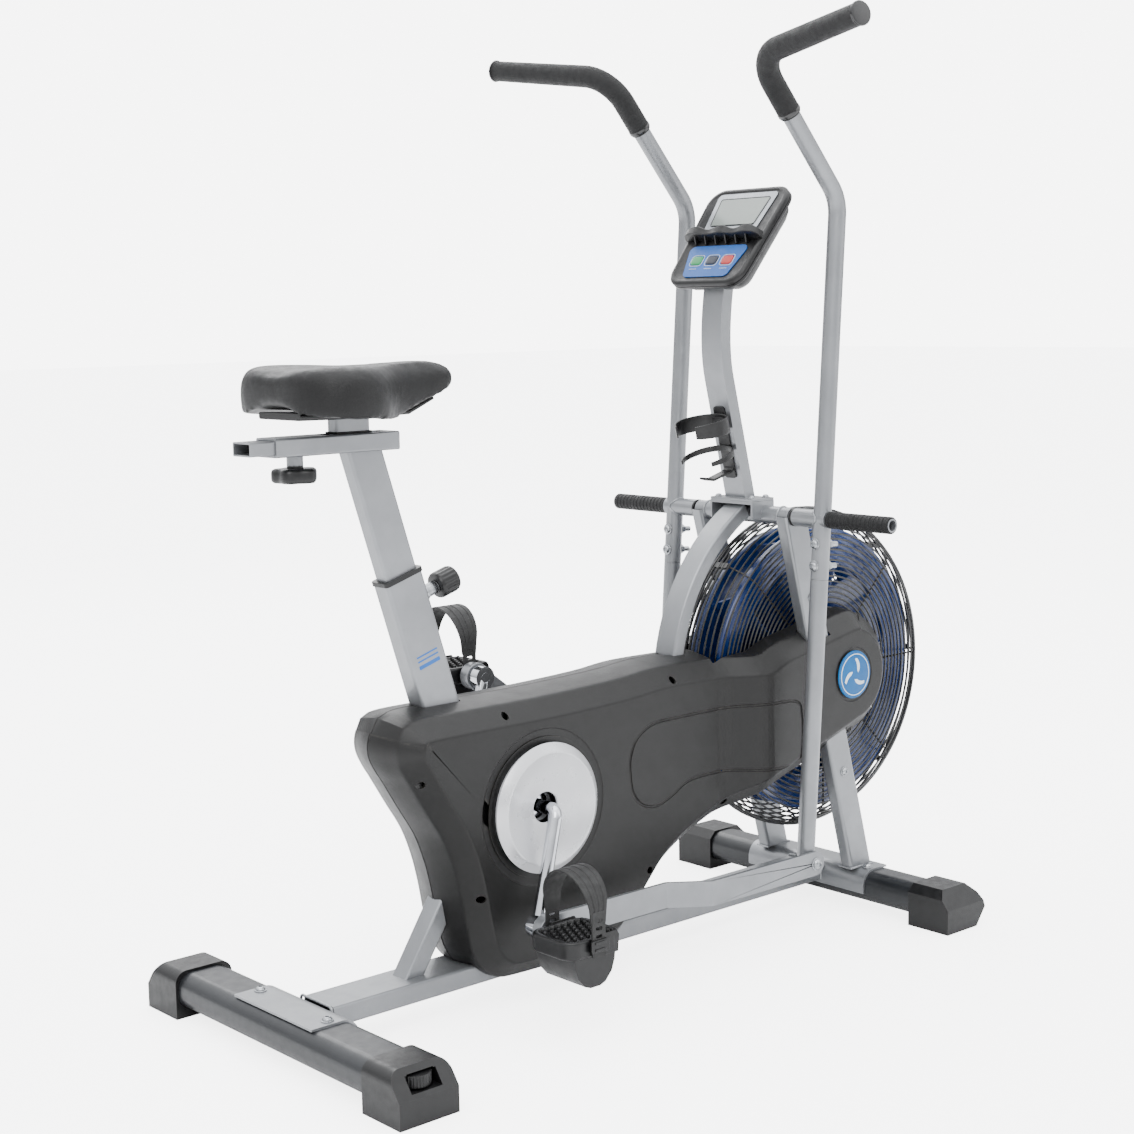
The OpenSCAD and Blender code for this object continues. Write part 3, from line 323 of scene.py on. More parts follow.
def surface(name, tone, shade_tone=None, rough=0.4, metal=0.0, mottle=25.0, grain=1500.0, relief=0.03,
            spread=0.06, coat=0.0, edge_tone=None, edge_size=0.8, stretch=None, cell=None, top_sheen=0.0,
            specular=0.5):
    """A procedural finish: colour drift, fine relief, uneven gloss, a lighter edge tone (wear, and a painted
    highlight on the navy plastic), and a painted sheen on faces that look up.
    tone, shade_tone, edge_tone are linear colours; mottle, grain and cell are scales per metre."""
    mat = bpy.data.materials.new(name)
    mat.use_nodes = True
    nodes, links = mat.node_tree.nodes, mat.node_tree.links
    bsdf = nodes["Principled BSDF"]
    coords = nodes.new("ShaderNodeTexCoord")
    source = coords.outputs["Object"]
    if stretch:
        mapping = nodes.new("ShaderNodeMapping")
        mapping.inputs["Scale"].default_value = stretch
        links.new(source, mapping.inputs["Vector"])
        source = mapping.outputs["Vector"]

    def noise(scale, detail=4.0, vector=None):
        n = nodes.new("ShaderNodeTexNoise")
        n.inputs["Scale"].default_value = scale
        n.inputs["Detail"].default_value = detail
        links.new(vector or coords.outputs["Object"], n.inputs["Vector"])
        return n.outputs["Fac"]

    def blend(fac, a, b):
        m = nodes.new("ShaderNodeMix")
        m.data_type = "RGBA"
        for key, kind, value in (("Factor", "VALUE", fac), ("A", "RGBA", a), ("B", "RGBA", b)):
            socket = [s for s in m.inputs if s.name == key and s.type == kind][0]
            if hasattr(value, "is_output"):
                links.new(value, socket)
            else:
                socket.default_value = value
        return [s for s in m.outputs if s.type == "RGBA"][0]

    def ranged(value, lo, hi, to_lo, to_hi):
        m = nodes.new("ShaderNodeMapRange")
        for key, number in (("From Min", lo), ("From Max", hi), ("To Min", to_lo), ("To Max", to_hi)):
            m.inputs[key].default_value = number
        links.new(value, m.inputs["Value"])
        return m.outputs["Result"]

    shade_tone = shade_tone or tuple(c * 0.72 for c in tone[:3]) + (1.0,)
    drift = ranged(noise(mottle), 0.3, 0.7, 0.0, 1.0)
    colour = blend(drift, tone, shade_tone)
    speck = ranged(noise(grain * 0.6, 2.0, source), 0.35, 0.65, 0.0, 0.35)
    colour = blend(speck, colour, shade_tone)
    normal = nodes.new("ShaderNodeNewGeometry").outputs["Normal"]
    # Edges take edge_tone: wear on most finishes, a painted highlight on the navy plastic.
    if edge_tone:
        bevel = nodes.new("ShaderNodeBevel")
        bevel.samples = 4
        bevel.inputs["Radius"].default_value = edge_size * MM
        dot = nodes.new("ShaderNodeVectorMath")
        dot.operation = "DOT_PRODUCT"
        links.new(bevel.outputs["Normal"], dot.inputs[0])
        links.new(normal, dot.inputs[1])
        wear_and_highlight = ranged(dot.outputs["Value"], 0.985, 0.90, 0.0, 1.0)
        patch = ranged(noise(60.0, 5.0), 0.4, 0.62, 0.15, 0.9)
        both = nodes.new("ShaderNodeMath")
        both.operation = "MULTIPLY"
        links.new(wear_and_highlight, both.inputs[0])
        links.new(patch, both.inputs[1])
        colour = blend(both.outputs["Value"], colour, edge_tone)
    # Painted sheen: faces that look up are tinted brown-grey in patches, standing in for the reflection of
    # the light above.
    if top_sheen:
        up = nodes.new("ShaderNodeSeparateXYZ")
        links.new(normal, up.inputs[0])
        lying = ranged(up.outputs["Z"], 0.5, 1.0, 0.0, top_sheen)
        patchy = nodes.new("ShaderNodeMath")
        patchy.operation = "MULTIPLY"
        links.new(lying, patchy.inputs[0])
        links.new(noise(90.0, 6.0), patchy.inputs[1])
        colour = blend(patchy.outputs["Value"], colour, lin(150, 146, 138))
    links.new(colour, bsdf.inputs["Base Color"])
    gloss = ranged(noise(mottle * 4, 5.0, source), 0.3, 0.7, max(rough - spread, 0.03), rough + spread)
    links.new(gloss, bsdf.inputs["Roughness"])
    bump = nodes.new("ShaderNodeBump")
    bump.inputs["Distance"].default_value = 0.0006
    bump.inputs["Strength"].default_value = relief
    if cell:
        v = nodes.new("ShaderNodeTexVoronoi")
        v.feature = "DISTANCE_TO_EDGE"
        v.inputs["Scale"].default_value = cell
        links.new(source, v.inputs["Vector"])
        height = ranged(v.outputs["Distance"], 0.0, 0.25, 0.0, 1.0)
    else:
        height = noise(grain, 6.0, source)
    links.new(height, bump.inputs["Height"])
    links.new(bump.outputs["Normal"], bsdf.inputs["Normal"])
    bsdf.inputs["Metallic"].default_value = metal
    bsdf.inputs["Coat Weight"].default_value = coat
    bsdf.inputs["Coat Roughness"].default_value = 0.12
    bsdf.inputs["Specular IOR Level"].default_value = specular
    return mat


PAINT = surface("grey_powder_coat", lin(142, 144, 147), lin(128, 130, 133), rough=0.34, metal=0.65,
                grain=2600, relief=0.10, coat=0.25, edge_tone=lin(186, 187, 188), mottle=14)
CHARCOAL = surface("charcoal_powder_coat", lin(36, 38, 41), lin(26, 28, 31), rough=0.38, metal=0.25,
                   grain=2600, relief=0.12, coat=0.2, edge_tone=lin(92, 94, 96), mottle=16)
# The cover's black plastic gets a faint painted brown-grey sheen on its upward faces.
MOULDED = surface("black_moulded_plastic", lin(7, 6.5, 6), lin(5, 4.5, 4), rough=0.34, grain=1400,
                  relief=0.2, cell=900, edge_tone=lin(46, 44, 41), edge_size=1.4, spread=0.05, mottle=10,
                  top_sheen=0.01, specular=0.38)
BLACK = surface("black_plastic", lin(12, 12, 13), lin(8, 8, 9), rough=0.36, grain=1800, relief=0.18,
                edge_tone=lin(46, 46, 46), spread=0.08, specular=0.42)
GLOSSY = surface("glossy_black", lin(22, 22, 23), lin(14, 14, 15), rough=0.2, grain=1500, relief=0.04,
                 coat=0.4)
RUBBER = surface("black_rubber", lin(27, 27, 27), lin(17, 17, 17), rough=0.62, grain=1200, relief=0.35,
                 spread=0.1)
FOAM = surface("foam_sleeve", lin(15, 15, 16), lin(10, 10, 11), rough=0.55, grain=1900, relief=0.5,
               cell=1500, spread=0.08, specular=0.35)
VINYL = surface("saddle_vinyl", lin(8, 8, 8), lin(5, 5, 6), rough=0.42, grain=900, relief=0.3, cell=620,
                spread=0.07, mottle=18, specular=0.3)
CHROME = surface("chrome_plate", lin(214, 216, 220), lin(196, 198, 203), rough=0.09, metal=1.0, grain=900,
                 relief=0.012, spread=0.03, mottle=40)
ZINC = surface("zinc_plate", lin(186, 188, 190), lin(146, 149, 153), rough=0.28, metal=1.0, grain=1600,
               relief=0.12, spread=0.08, mottle=120, edge_tone=lin(225, 225, 222), edge_size=0.4)
DISC = surface("silver_plastic", lin(214, 215, 217), lin(196, 197, 200), rough=0.3, metal=0.35, grain=2200,
               relief=0.03, coat=0.5, mottle=9)
BADGE = surface("cyan_insert", lin(0, 98, 158), lin(0, 80, 138), rough=0.4, grain=1500, relief=0.03,
                specular=0.3)
BADGE_MARK = surface("badge_pale", lin(226, 232, 236), lin(198, 208, 214), rough=0.3, grain=1500,
                     relief=0.02)
# The navy's pale blue edge tone is a painted highlight along the blade and ring edges.
NAVY = surface("navy_blade_plastic", lin(6, 48, 112), lin(4, 32, 80), rough=0.22, grain=900, relief=0.06,
               coat=0.5, mottle=12, edge_tone=lin(58, 96, 156))
WIRE = surface("wire_coat", lin(12, 12, 13), lin(8, 8, 9), rough=0.3, grain=2200, relief=0.1, coat=0.2)
LCD = surface("display_grey", lin(134, 141, 135), lin(118, 126, 121), rough=0.16, grain=300, relief=0.01,
              coat=0.9, mottle=8)
PLATE = surface("console_silver", lin(176, 180, 184), lin(158, 162, 167), rough=0.3, metal=0.5, grain=900,
                relief=0.03, coat=0.3, stretch=(1, 20, 1))
KEYPAD = surface("keypad_blue", lin(0, 84, 160), lin(0, 70, 138), rough=0.4, grain=1600, relief=0.08)
KEY_LINE = surface("key_outline", lin(206, 212, 216), lin(180, 188, 194), rough=0.4, grain=1200, relief=0.05)
GREEN = surface("green_key", lin(34, 148, 84), lin(22, 116, 64), rough=0.34, grain=1500, relief=0.08)
DARK_KEY = surface("dark_key", lin(24, 34, 50), lin(16, 22, 34), rough=0.34, grain=1500, relief=0.08)
RED = surface("red_key", lin(186, 48, 40), lin(150, 34, 30), rough=0.34, grain=1500, relief=0.08)
STRIPE = surface("blue_stripe", lin(0, 92, 172), lin(0, 78, 150), rough=0.36, grain=1500, relief=0.03)
WELD = surface("weld_bead", lin(176, 178, 180), lin(132, 135, 138), rough=0.36, metal=0.75, grain=700,
               relief=0.6, mottle=220)
BELT = surface("belt_rubber", lin(24, 24, 24), lin(14, 14, 14), rough=0.6, grain=900, relief=0.4,
               stretch=(1, 1, 8))


# ---- the CAD nodes that stay ----

def dress(mat, edge, *names):
    """Gives CAD nodes a material, joins their doubled corners and rounds their edges."""
    for name in names:
        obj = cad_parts[name]
        obj.data.materials.clear()
        obj.data.materials.append(mat)
        weld = obj.modifiers.new("join", "WELD")
        weld.merge_threshold = 0.00003
        if edge:
            soften(obj, edge)


dress(PAINT, 0.7, "main_frame", "seat_post", "seat_slider", "console_mast", "arm_right", "arm_left",
      "lever_right", "lever_left", "link_right", "link_left")
dress(CHARCOAL, 1.0, "rear_stabilizer", "front_stabilizer")
dress(BLACK, 1.6, "rear_cap_right", "rear_cap_left", "front_cap_right", "front_cap_left")
dress(BLACK, 0.5, "levelling_foot_right", "levelling_foot_left", "sleeve_collar", "console_back",
      "axle_bushings", "drive_pulley", "fan_pulley")
dress(RUBBER, 1.2, "transport_wheel_right", "transport_wheel_left")
dress(CHROME, 0.6, "crank", "pedal_axles")
dress(ZINC, 0.4, "bottom_bracket_cups", "fan_axle")
dress(BELT, 0.3, "drive_belt")


# ---- cover ----

FACE_Y = 72
WALL = 2.4
NOSE_R = 68
NOSE_LOW, NOSE_HIGH = -78, 84


def cover_crease():
    """The edge between the cover's flat face and its chamfer, seen from the right."""
    rear = [(-184, 380), (-192, 374), (-194, 363), (-188, 349), (-176, 330), (-154, 294), (-128, 252),
            (-111, 210), (-100, 168), (-92, 126), (-82, 90), (-62, 66), (-30, 60)]
    below = [(90, 60), (128, 68), (158, 92), (188, 124), (222, 158), (270, 186), (330, 210), (420, 242),
             (530, 276)]
    from_crank = [(CRANK[0] + x, z) for x, z in rear + below]
    nose = circle2(NOSE_R, 14, *FAN, NOSE_LOW, NOSE_HIGH)
    above = [(300, 417), (232, 404), (196, 391), (160, 389), (20, 391), (-60, 385), (-190, 381)]
    return from_crank + nose + above + [(CRANK[0] - 120, 381)]


def nose_shift(x, y):
    """How far outboard the cover's wall moves beside the fan."""
    return step01(x, 116, 196) * (35 * min(y / 45, 1) - 3 * max(y - 45, 0) / 27)


def cover_shell():
    """The right-hand cover's outer skin: a flat face, a chamfer and a rim, grown out of the crease."""
    base = [p.to_2d() for p in curve([(x, z, 0) for x, z in cover_crease()], 5, True)]
    n = len(base)
    tangents = [(base[(i + 1) % n] - base[i - 1]).normalized() for i in range(n)]
    area = sum(a.x * b.y - b.x * a.y for a, b in zip(base, base[1:] + base[:1]))
    outward = [Vector((t.y, -t.x)) * (1 if area > 0 else -1) for t in tangents]
    # Each level: grow from the crease, place outboard, and how much of the crown it has
    levels = [(-3.6, FACE_Y, 0), (-1.6, 71.9, 0), (0, 71.2, 0), (1.6, 69.6, 0), (6, 65.0, 0), (14, 56.6, 0),
              (21.2, 48.9, 0), (22.8, 46.9, 0), (24, 44.4, 0), (24.6, 40, 0.05), (25, 28, 0.4), (25, 14, 0.8),
              (25, 1.4, 1.0), (24.4, 0.3, 1.0)]
    b = new()
    rings = []
    for grow, y, crown in levels:
        ring = []
        for p, o in zip(base, outward):
            top = max(o.y, 0) ** 2 * 6
            rear = max(-o.x, 0) ** 2 * 10 * step01(-p.x, 40, 200)
            g = grow + crown * (top + rear)
            q = p + o * g
            ring.append(b.verts.new((q.x, -y, q.y)))
        rings.append(ring)
    bridge(b, rings, caps=False)
    # The flat face, cut into strips where the wall steps outboard
    b.faces.new(rings[0])
    for x in range(116, 197, 10):
        geom = list(b.faces) + list(b.edges) + list(b.verts)
        bmesh.ops.bisect_plane(b, geom=geom, plane_co=(x, 0, 0), plane_no=(1, 0, 0), dist=0.001)
    for v in b.verts:
        v.co.y -= nose_shift(v.co.x, -v.co.y)
    bmesh.ops.triangulate(b, faces=[f for f in b.faces if len(f.verts) > 4])
    return b


def tool(b):
    return to_object(b, "tool")


def cut_away(obj, tools):
    """Cuts the tools out of a closed piece and deletes them."""
    for t in tools:
        m = obj.modifiers.new("cut", "BOOLEAN")
        m.operation, m.solver, m.object = "DIFFERENCE", "MANIFOLD", t
    apply_modifiers(obj)
    for t in tools:
        bpy.data.objects.remove(t)


def along_y(b, x, z, y0, y1, r, n=64):
    lathe(b, [(r, y0), (r, y1)], (x, 0, z), (0, 1, 0), n)


def groove_path():
    """The long rounded groove on the cover's side, which dips lower at its rear."""
    lobe = [(-59, 288), (-54, 254), (-36, 233), (-8, 227), (22, 237), (56, 252), (120, 254), (190, 249),
            (243, 250), (254, 272), (254, 318), (243, 341), (190, 345), (110, 345), (40, 345), (-14, 343),
            (-44, 328), (-56, 308)]
    out = curve([(x, 0, z) for x, z in lobe], 10, True)
    for p in out:
        p.y = -FACE_Y - nose_shift(p.x, FACE_Y)
    return out


SCREWS = [(-268, 391), (-403, 322), (-318, 158), (30, 397), (-24, 138), (130, 206), (381, 276)]


def cover_tools():
    """Everything that is cut out of the right-hand cover, as closed tools."""
    made = []

    def add(fill, *sizes, **more):
        b = new()
        fill(b, *sizes, **more)
        made.append(tool(b))

    on_crank, on_fan = (CRANK[0], 0, CRANK[1]), (FAN[0], 0, FAN[1])
    across = (0, 1, 0)
    # Room for the guard, base tube, seat sleeve, upright and crank
    add(along_y, *FAN, -53.5, 10, 251, 96)
    add(block, (-700, -34, 0), (500, 10, 61))
    add(prism, round_rect(60, 34, 4), SEAT_BASE - SEAT_UP * 200, SEAT_FORE, across, SEAT_UP * 500)
    add(block, (70, -21, 238), (95, 10, 364))
    bend = [math.radians(4 * k) for k in range(-1, 17)]
    add(sweep, [(FAN[0] - 286 * math.cos(a), 0, FAN[1] + 286 * math.sin(a)) for a in bend],
        [(-12, -21), (12, -21), (12, 21), (-12, 21)], up=(0.001, 1, 0))
    add(along_y, *CRANK, -90, 10, 23, 48)
    # A slot for the fork
    slot = [(-24, -97.5), (24, -97.5), (24, -72.5), (-24, -72.5)]
    add(prism, slot, FORK_LOW - FORK_UP * 10, FORK_SIDE, across, FORK_UP * 600)
    # The ring-shaped step round the disc, the groove, the ring round the badge, and the screw holes
    step = [(94.0, -80), (94.0, -70.4), (102.6, -70.4), (104.4, -71.2), (105.0, -72), (105.0, -80)]
    add(lathe, step, on_crank, across, 96, closed=True)
    add(sweep, groove_path(), circle2(2.3, 10), closed=True)
    ring = [(37.0, -112), (37.0, -102.7), (40.4, -102.7), (41.4, -103.6), (41.4, -112)]
    add(lathe, ring, on_fan, across, 72, closed=True)
    for x, z in SCREWS:
        y = -58 - nose_shift(x, 58)
        add(lathe, [(5.0, y - 30), (5.0, y + 5)], (x, 0, z), across, 24)
    return made


def cover_half(side):
    obj = to_object(cover_shell(), f"cover_shell_{side}")
    m = obj.modifiers.new("wall", "SOLIDIFY")
    m.thickness, m.offset = WALL * MM, -1
    apply_modifiers(obj)
    cut_away(obj, cover_tools())
    if side == "left":
        b = bmesh.new()
        b.from_mesh(obj.data)
        for v in b.verts:
            v.co.y = -v.co.y
        bmesh.ops.reverse_faces(b, faces=b.faces)
        b.to_mesh(obj.data)
        b.free()
    place(obj, MOULDED, "frame", [f"cover_{side}"], sharp=34, level=True)


for side in ("right", "left"):
    cover_half(side)


def cover_screws():
    b = new()
    for s in (-1, 1):
        for x, z in SCREWS:
            y = 58 + nose_shift(x, 58) - 7.5
            lathe(b, [(4.7, 0), (4.7, 2.4), (3.4, 3.2), (1.4, 3.3), (1.1, 2.0)], (x, s * y, z), (0, s, 0), 20)
    return b


piece(cover_screws(), "cover_screws", BLACK, "frame")


# ---- discs and badge ----

def crank_disc(s):
    """A dished disc with a bevelled rim."""
    b = new()
    at = (CRANK[0], s * FACE_Y, CRANK[1])
    rim = [(20.5, 0.15), (83, 0.15), (83, 6), (86.4, 6.5), (87, 7.1), (87, 7.8), (86.4, 8.4), (76.6, 16.1),
           (76, 16.4), (74.2, 16.4), (73.5, 16.0), (72.4, 15.2)]
    dish = [(50, 8.8), (30, 4.4), (24, 3.3), (21.4, 2.9), (20.5, 2.2)]
    lathe(b, rim + dish, at, (0, s, 0), 128, closed=True)
    return b


piece(joined([crank_disc(-1), crank_disc(1)]), "disc_covers", DISC, "frame", ["crank_discs"], "disc_plastic",
      sharp=24)


def badge():
    b = new()
    profile = [(0.02, 0.1), (35.4, 0.1), (36, 0.8), (35.4, 2.0), (33.4, 2.6), (0.02, 3.1)]
    lathe(b, profile, (FAN[0], -104.05, FAN[1]), (0, -1, 0), 72)
    return b


piece(badge(), "badge_face", BADGE, "frame", ["badge_right"], "badge_plastic")


def badge_marks():
    """A plain swirl of three blades, and a thin ring."""
    b = new()
    c = Vector((FAN[0], -106.55, FAN[1]))
    lathe(b, [(30.2, 0), (31.4, 0), (31.4, 0.7), (30.2, 0.7)], c, (0, -1, 0), 72, closed=True)
    for k in range(3):
        a0 = k * 120 + 20
        outer = [(mix(7, 25, t / 12), a0 + 62 * (t / 12)) for t in range(13)]
        inner = [(mix(7, 25, t / 12), a0 + 34 + 40 * (t / 12) ** 0.8) for t in range(13)]
        loop = [(r, math.radians(a)) for r, a in outer + inner[::-1][1:-1]]
        pts = [(r * math.cos(a), r * math.sin(a)) for r, a in loop]
        prism(b, pts, c, (1, 0, 0), (0, 0, 1), (0, -0.75, 0))
    return b


piece(badge_marks(), "badge_marks", BADGE_MARK, "frame")


# ---- fan and guard ----

def fan_wheel():
    b = new()
    at = (FAN[0], 0, FAN[1])
    for s in (-1, 1):
        ring = [(164, 20), (164, 24.5), (166, 26), (184, 26), (187, 29), (199, 29), (202, 31.5), (211, 31.5),
                (213.6, 29), (213.6, 22), (211, 20), (200, 20), (186, 19), (168, 19)]
        lathe(b, [(r, s * y) for r, y in (ring if s > 0 else ring[::-1])], at, (0, 1, 0), 120, closed=True)
    hub = [(13.6, -31), (30, -31), (34, -29), (36, -24), (36, 24), (34, 29), (30, 31), (13.6, 31)]
    lathe(b, hub, at, (0, 1, 0), 64, closed=True)
    return b


def fan_blades():
    """Ten blades that lean and bow, each a front and a back sheet with closed edges."""
    b = new()
    blades, long, wide = 10, 12, 8

    def sheet(turn, thick):
        rows = []
        for i in range(long + 1):
            swell_here = math.sin(math.pi * i / 12)
            r = mix(33, 204, i / long)
            row = []
            for j in range(wide + 1):
                y = mix(-29, 29, j / wide) * (0.82 + 0.18 * swell_here)
                lean = math.tan(math.radians(24)) * y + 0.006 * y * y * math.copysign(1, y) * 0.5
                t = lean + 22 * swell_here + thick
                row.append(b.verts.new((FAN[0] + r * math.cos(turn) - t * math.sin(turn), y,
                                        FAN[1] + r * math.sin(turn) + t * math.cos(turn))))
            rows.append(row)
        return rows

    for k in range(blades):
        turn = 2 * math.pi * k / blades
        lo, hi = sheet(turn, -1.4), sheet(turn, 1.4)
        for i in range(long):
            for j in range(wide):
                b.faces.new((lo[i][j], lo[i][j + 1], lo[i + 1][j + 1], lo[i + 1][j]))
                b.faces.new((hi[i][j], hi[i + 1][j], hi[i + 1][j + 1], hi[i][j + 1]))
            for j in (0, wide):
                b.faces.new((lo[i][j], lo[i + 1][j], hi[i + 1][j], hi[i][j]))
        for j in range(wide):
            for i in (0, long):
                b.faces.new((lo[i][j], hi[i][j], hi[i][j + 1], lo[i][j + 1]))
    return b


piece(fan_wheel(), "fan_rings", NAVY, "fan", ["fan_wheel"], "fan_plastic", sharp=32)
piece(fan_blades(), "fan_blades", NAVY, "fan", [], "fan_plastic", sharp=32)


def ring_path(r, y, n=96):
    return [(x, y, z) for x, z in circle2(r, n, *FAN)]


# Radius and place outboard of the wires, from the face round to the rim
GUARD_RIM = [(214, 46.2), (221, 41.5), (227.5, 35.6), (233, 28.8), (238, 21.2), (241.6, 13), (242.6, 4)]


def guard_wires():
    b = new()
    for i in range(19):
        sweep(b, ring_path(62 + 8 * i, -46.6), circle2(1.5, 8), closed=True)
    for r, y in GUARD_RIM:
        sweep(b, ring_path(r, -y), circle2(1.5 if r < 240 else 1.7, 8), closed=True)
    return b


def guard_spokes():
    b = new()
    for k in range(8):
        a = math.radians(45 * k)
        u = Vector((math.cos(a), 0, math.sin(a)))
        prof = [(60, 44.2), (208, 44.2), (226, 33.5), (240.2, 12.5), (240.6, 1.2)]
        path = fillet([Vector((FAN[0], 0, FAN[1])) + u * r + Vector((0, -y, 0)) for r, y in prof], 16, 5)
        sweep(b, path, circle2(1.5, 8))
        # The clip that ties the halves together
        y_axis = Vector((0, 1, 0))
        at = Vector((FAN[0], -6.0, FAN[1])) + u * 238
        prism(b, round_rect(9, 11, 1.6, 3), at, u.cross(y_axis), y_axis, u * 5.6)
    return b


both_sides(guard_wires, "guard_hoops", WIRE, "frame", ["guard"], slot="dark_paint", sharp=60)
both_sides(guard_spokes, "guard_spokes", WIRE, "frame", [], slot="dark_paint", sharp=50)


# ---- saddle ----

# Along the saddle: place, half width, ridge height, underside, and depth of the dish
SADDLE = [(-571.5, 42, 831, 793, 0), (-568, 64, 840, 789, 1), (-559, 86, 845, 787, 3),
          (-544, 104, 848, 786, 5), (-518, 111, 849.5, 784, 6), (-488, 108, 849, 782, 6),
          (-462, 95, 848, 780, 5), (-440, 76, 847, 778, 4), (-418, 57, 847.5, 778, 3),
          (-396, 45, 848.5, 785, 2), (-366, 38, 849.5, 796, 1), (-338, 33.5, 849.5, 804, 0.5),
          (-318, 29, 847.5, 810, 0), (-307, 22.5, 844, 815, 0), (-301.5, 14, 838, 821, 0)]
SKIN_ROOM = 1.0


def saddle_cage():
    """The pad's cross sections, drawn a little small so that the cloth run can fill them out."""
    b = new()
    rings = []
    for x, w, top, low, dish in SADDLE:
        w -= SKIN_ROOM
        top -= SKIN_ROOM
        low += SKIN_ROOM
        deep = top - low
        r = min(20, 0.5 * w)
        half = [(0, top - dish), (0.36 * w, top - 0.8 * dish), (max(w - 2.1 * r, 0.5 * w), top - 0.2 * dish),
                (w - r, top - 1.2), (w - 0.3 * r, top - 0.17 * deep), (w, top - 0.42 * deep),
                (w - 0.5, top - 0.72 * deep), (w - 2.5, low + 2), (w - 6, low - 0.4), (w - 10, low + 4),
                (0.4 * w, low + 12)]
        ring = half + [(0, low + 13)] + [(-y, z) for y, z in reversed(half[1:])]
        rings.append([b.verts.new((x, y, z)) for y, z in ring])
    bridge(b, rings)
    return b


def saddle():
    obj = to_object(saddle_cage(), "saddle_skin")
    m = obj.modifiers.new("sub", "SUBSURF")
    m.levels = m.render_levels = 2
    apply_modifiers(obj)
    swell(obj, voxel=0.0045, pressure=4.0, cap=0.0022)
    place(obj, VINYL, "seat", ["saddle"], sub=1, sharp=75)


def swell(obj, voxel, pressure, cap):
    """Puffs a padded shape with a short cloth run, and keeps each point near where it began."""
    m = obj.modifiers.new("remesh", "REMESH")
    m.mode, m.voxel_size = "VOXEL", voxel
    apply_modifiers(obj)
    start = [v.co.copy() for v in obj.data.vertices]
    cloth = obj.modifiers.new("cloth", "CLOTH")
    cloth.settings.use_pressure = True
    cloth.settings.uniform_pressure_force = pressure
    cloth.settings.effector_weights.gravity = 0
    cloth.settings.quality = 4
    cloth.point_cache.frame_start, cloth.point_cache.frame_end = 1, 20
    for f in range(1, 21):
        bpy.context.scene.frame_set(f)
    apply_modifiers(obj)
    bpy.context.scene.frame_set(1)
    for v, s in zip(obj.data.vertices, start):
        move = v.co - s
        if move.length > cap:
            v.co = s + move.normalized() * cap
    # Even out the remesh steps
    smooth = obj.modifiers.new("smooth", "SMOOTH")
    smooth.factor, smooth.iterations = 0.5, 3
    apply_modifiers(obj)


saddle()


def saddle_pan():
    """The hard pan under the pad, narrower to the front."""
    b = new()
    path = [(-556, 0, 790), (-500, 0, 788), (-440, 0, 787), (-380, 0, 787), (-336, 0, 803)]
    sweep(b, path, round_rect(60, 6, 2.5), up=(0, 1, 0), scale=lambda t: mix(1.5, 0.55, t))
    return b


piece(saddle_pan(), "saddle_pan", BLACK, "seat", edge=0.6)


# ---- grips, pegs ----

GRIP_TURN = Vector((122, -ARM_Y + 2, 1240))
GRIP_TIP = Vector((83, -358, 1268))
BEND = Vector((PIVOT[0] + 33, -ARM_Y, 1056))
UP_ARM = (GRIP_TURN - BEND).normalized()
TO_TIP = (GRIP_TIP - GRIP_TURN).normalized()


def grip():
    b = new()
    low = GRIP_TURN - UP_ARM * 96.5
    path = fillet([low, low + UP_ARM * 4, GRIP_TURN, GRIP_TIP - TO_TIP * 1.2], 55, 12)
    sweep(b, path, circle2(15.9, 24), scale=lambda t: 0.93 + 0.07 * step01(min(t, 1 - t), 0.0, 0.02))
    return b


def grip_ends():
    """A plug in the grip's tip and a collar at its lower end."""
    b = new()
    plug = [(15.0, -3), (16.0, -2.6), (16.1, -0.8), (15.2, 0.4), (12, 0.7), (0.1, 0.9)]
    collar = [(12.85, -6), (16.0, -6), (16.4, -5), (16.4, -1), (16.0, 0), (12.85, 0)]
    lathe(b, plug, GRIP_TIP - TO_TIP * 1.0, TO_TIP, 32)
    lathe(b, collar, GRIP_TURN - UP_ARM * 94, -UP_ARM, 32, closed=True)
    return b


both_sides(grip, "grip_foam", FOAM, ARM_BODIES, ["grip"], slot="foam", sharp=60)
both_sides(grip_ends, "grip_caps", GLOSSY, ARM_BODIES, [], slot="black_plastic", sharp=40)


def peg():
    """A ribbed rubber sleeve on the end of the arm axle."""
    b = new()
    at = (PIVOT[0], 0, PIVOT[1])
    prof = [(9.65, 163.2), (11.6, 163.2), (12, 164)]
    for k in range(14):
        y = 168 + k * 7.4
        prof += [(12, y), (11.3, y + 0.8), (11.3, y + 1.6), (12, y + 2.4)]
    prof += [(12, 273), (11.4, 274), (9.65, 274)]
    lathe(b, prof, at, (0, -1, 0), 40, closed=True)
    return b


piece(joined([peg(), mirrored(peg())]), "peg_rubber", FOAM, "frame", ["peg_sleeves"], "foam", sharp=40)


# ---- bolts ----

def fork_x(z):
    return mix(FORK_LOW.x, FORK_TOP.x, (z - FORK_LOW.z) / (FORK_TOP.z - FORK_LOW.z))


def frame_screws():
    b = new()
    for s in (-1, 1):
        bolt(b, (-567, s * 74, 63.05), (0, 0, 1), 13, 6)
        bolt(b, (398.5, s * 106, 63.05), (0, 0, 1), 13, 6)
        for z in (488, 217):
            bolt(b, (fork_x(z), s * 96.05, z), (0, s, 0), 12, 5)
        for x in (225, 255):
            bolt(b, (x, s * 33, 633.1), (0, 0, 1), 9, 4.5)
    return b


piece(frame_screws(), "frame_screws", ZINC, "frame", ["frame_bolts"], "zinc", sharp=40)

ARM_LEAN = math.radians(4.3)
DOWN = Vector((-math.sin(ARM_LEAN), 0, -math.cos(ARM_LEAN)))
ACROSS = Vector((math.cos(ARM_LEAN), 0, -math.sin(ARM_LEAN)))
LEVER_END = Vector((PIVOT[0], 0, PIVOT[1])) + DOWN * 491.5


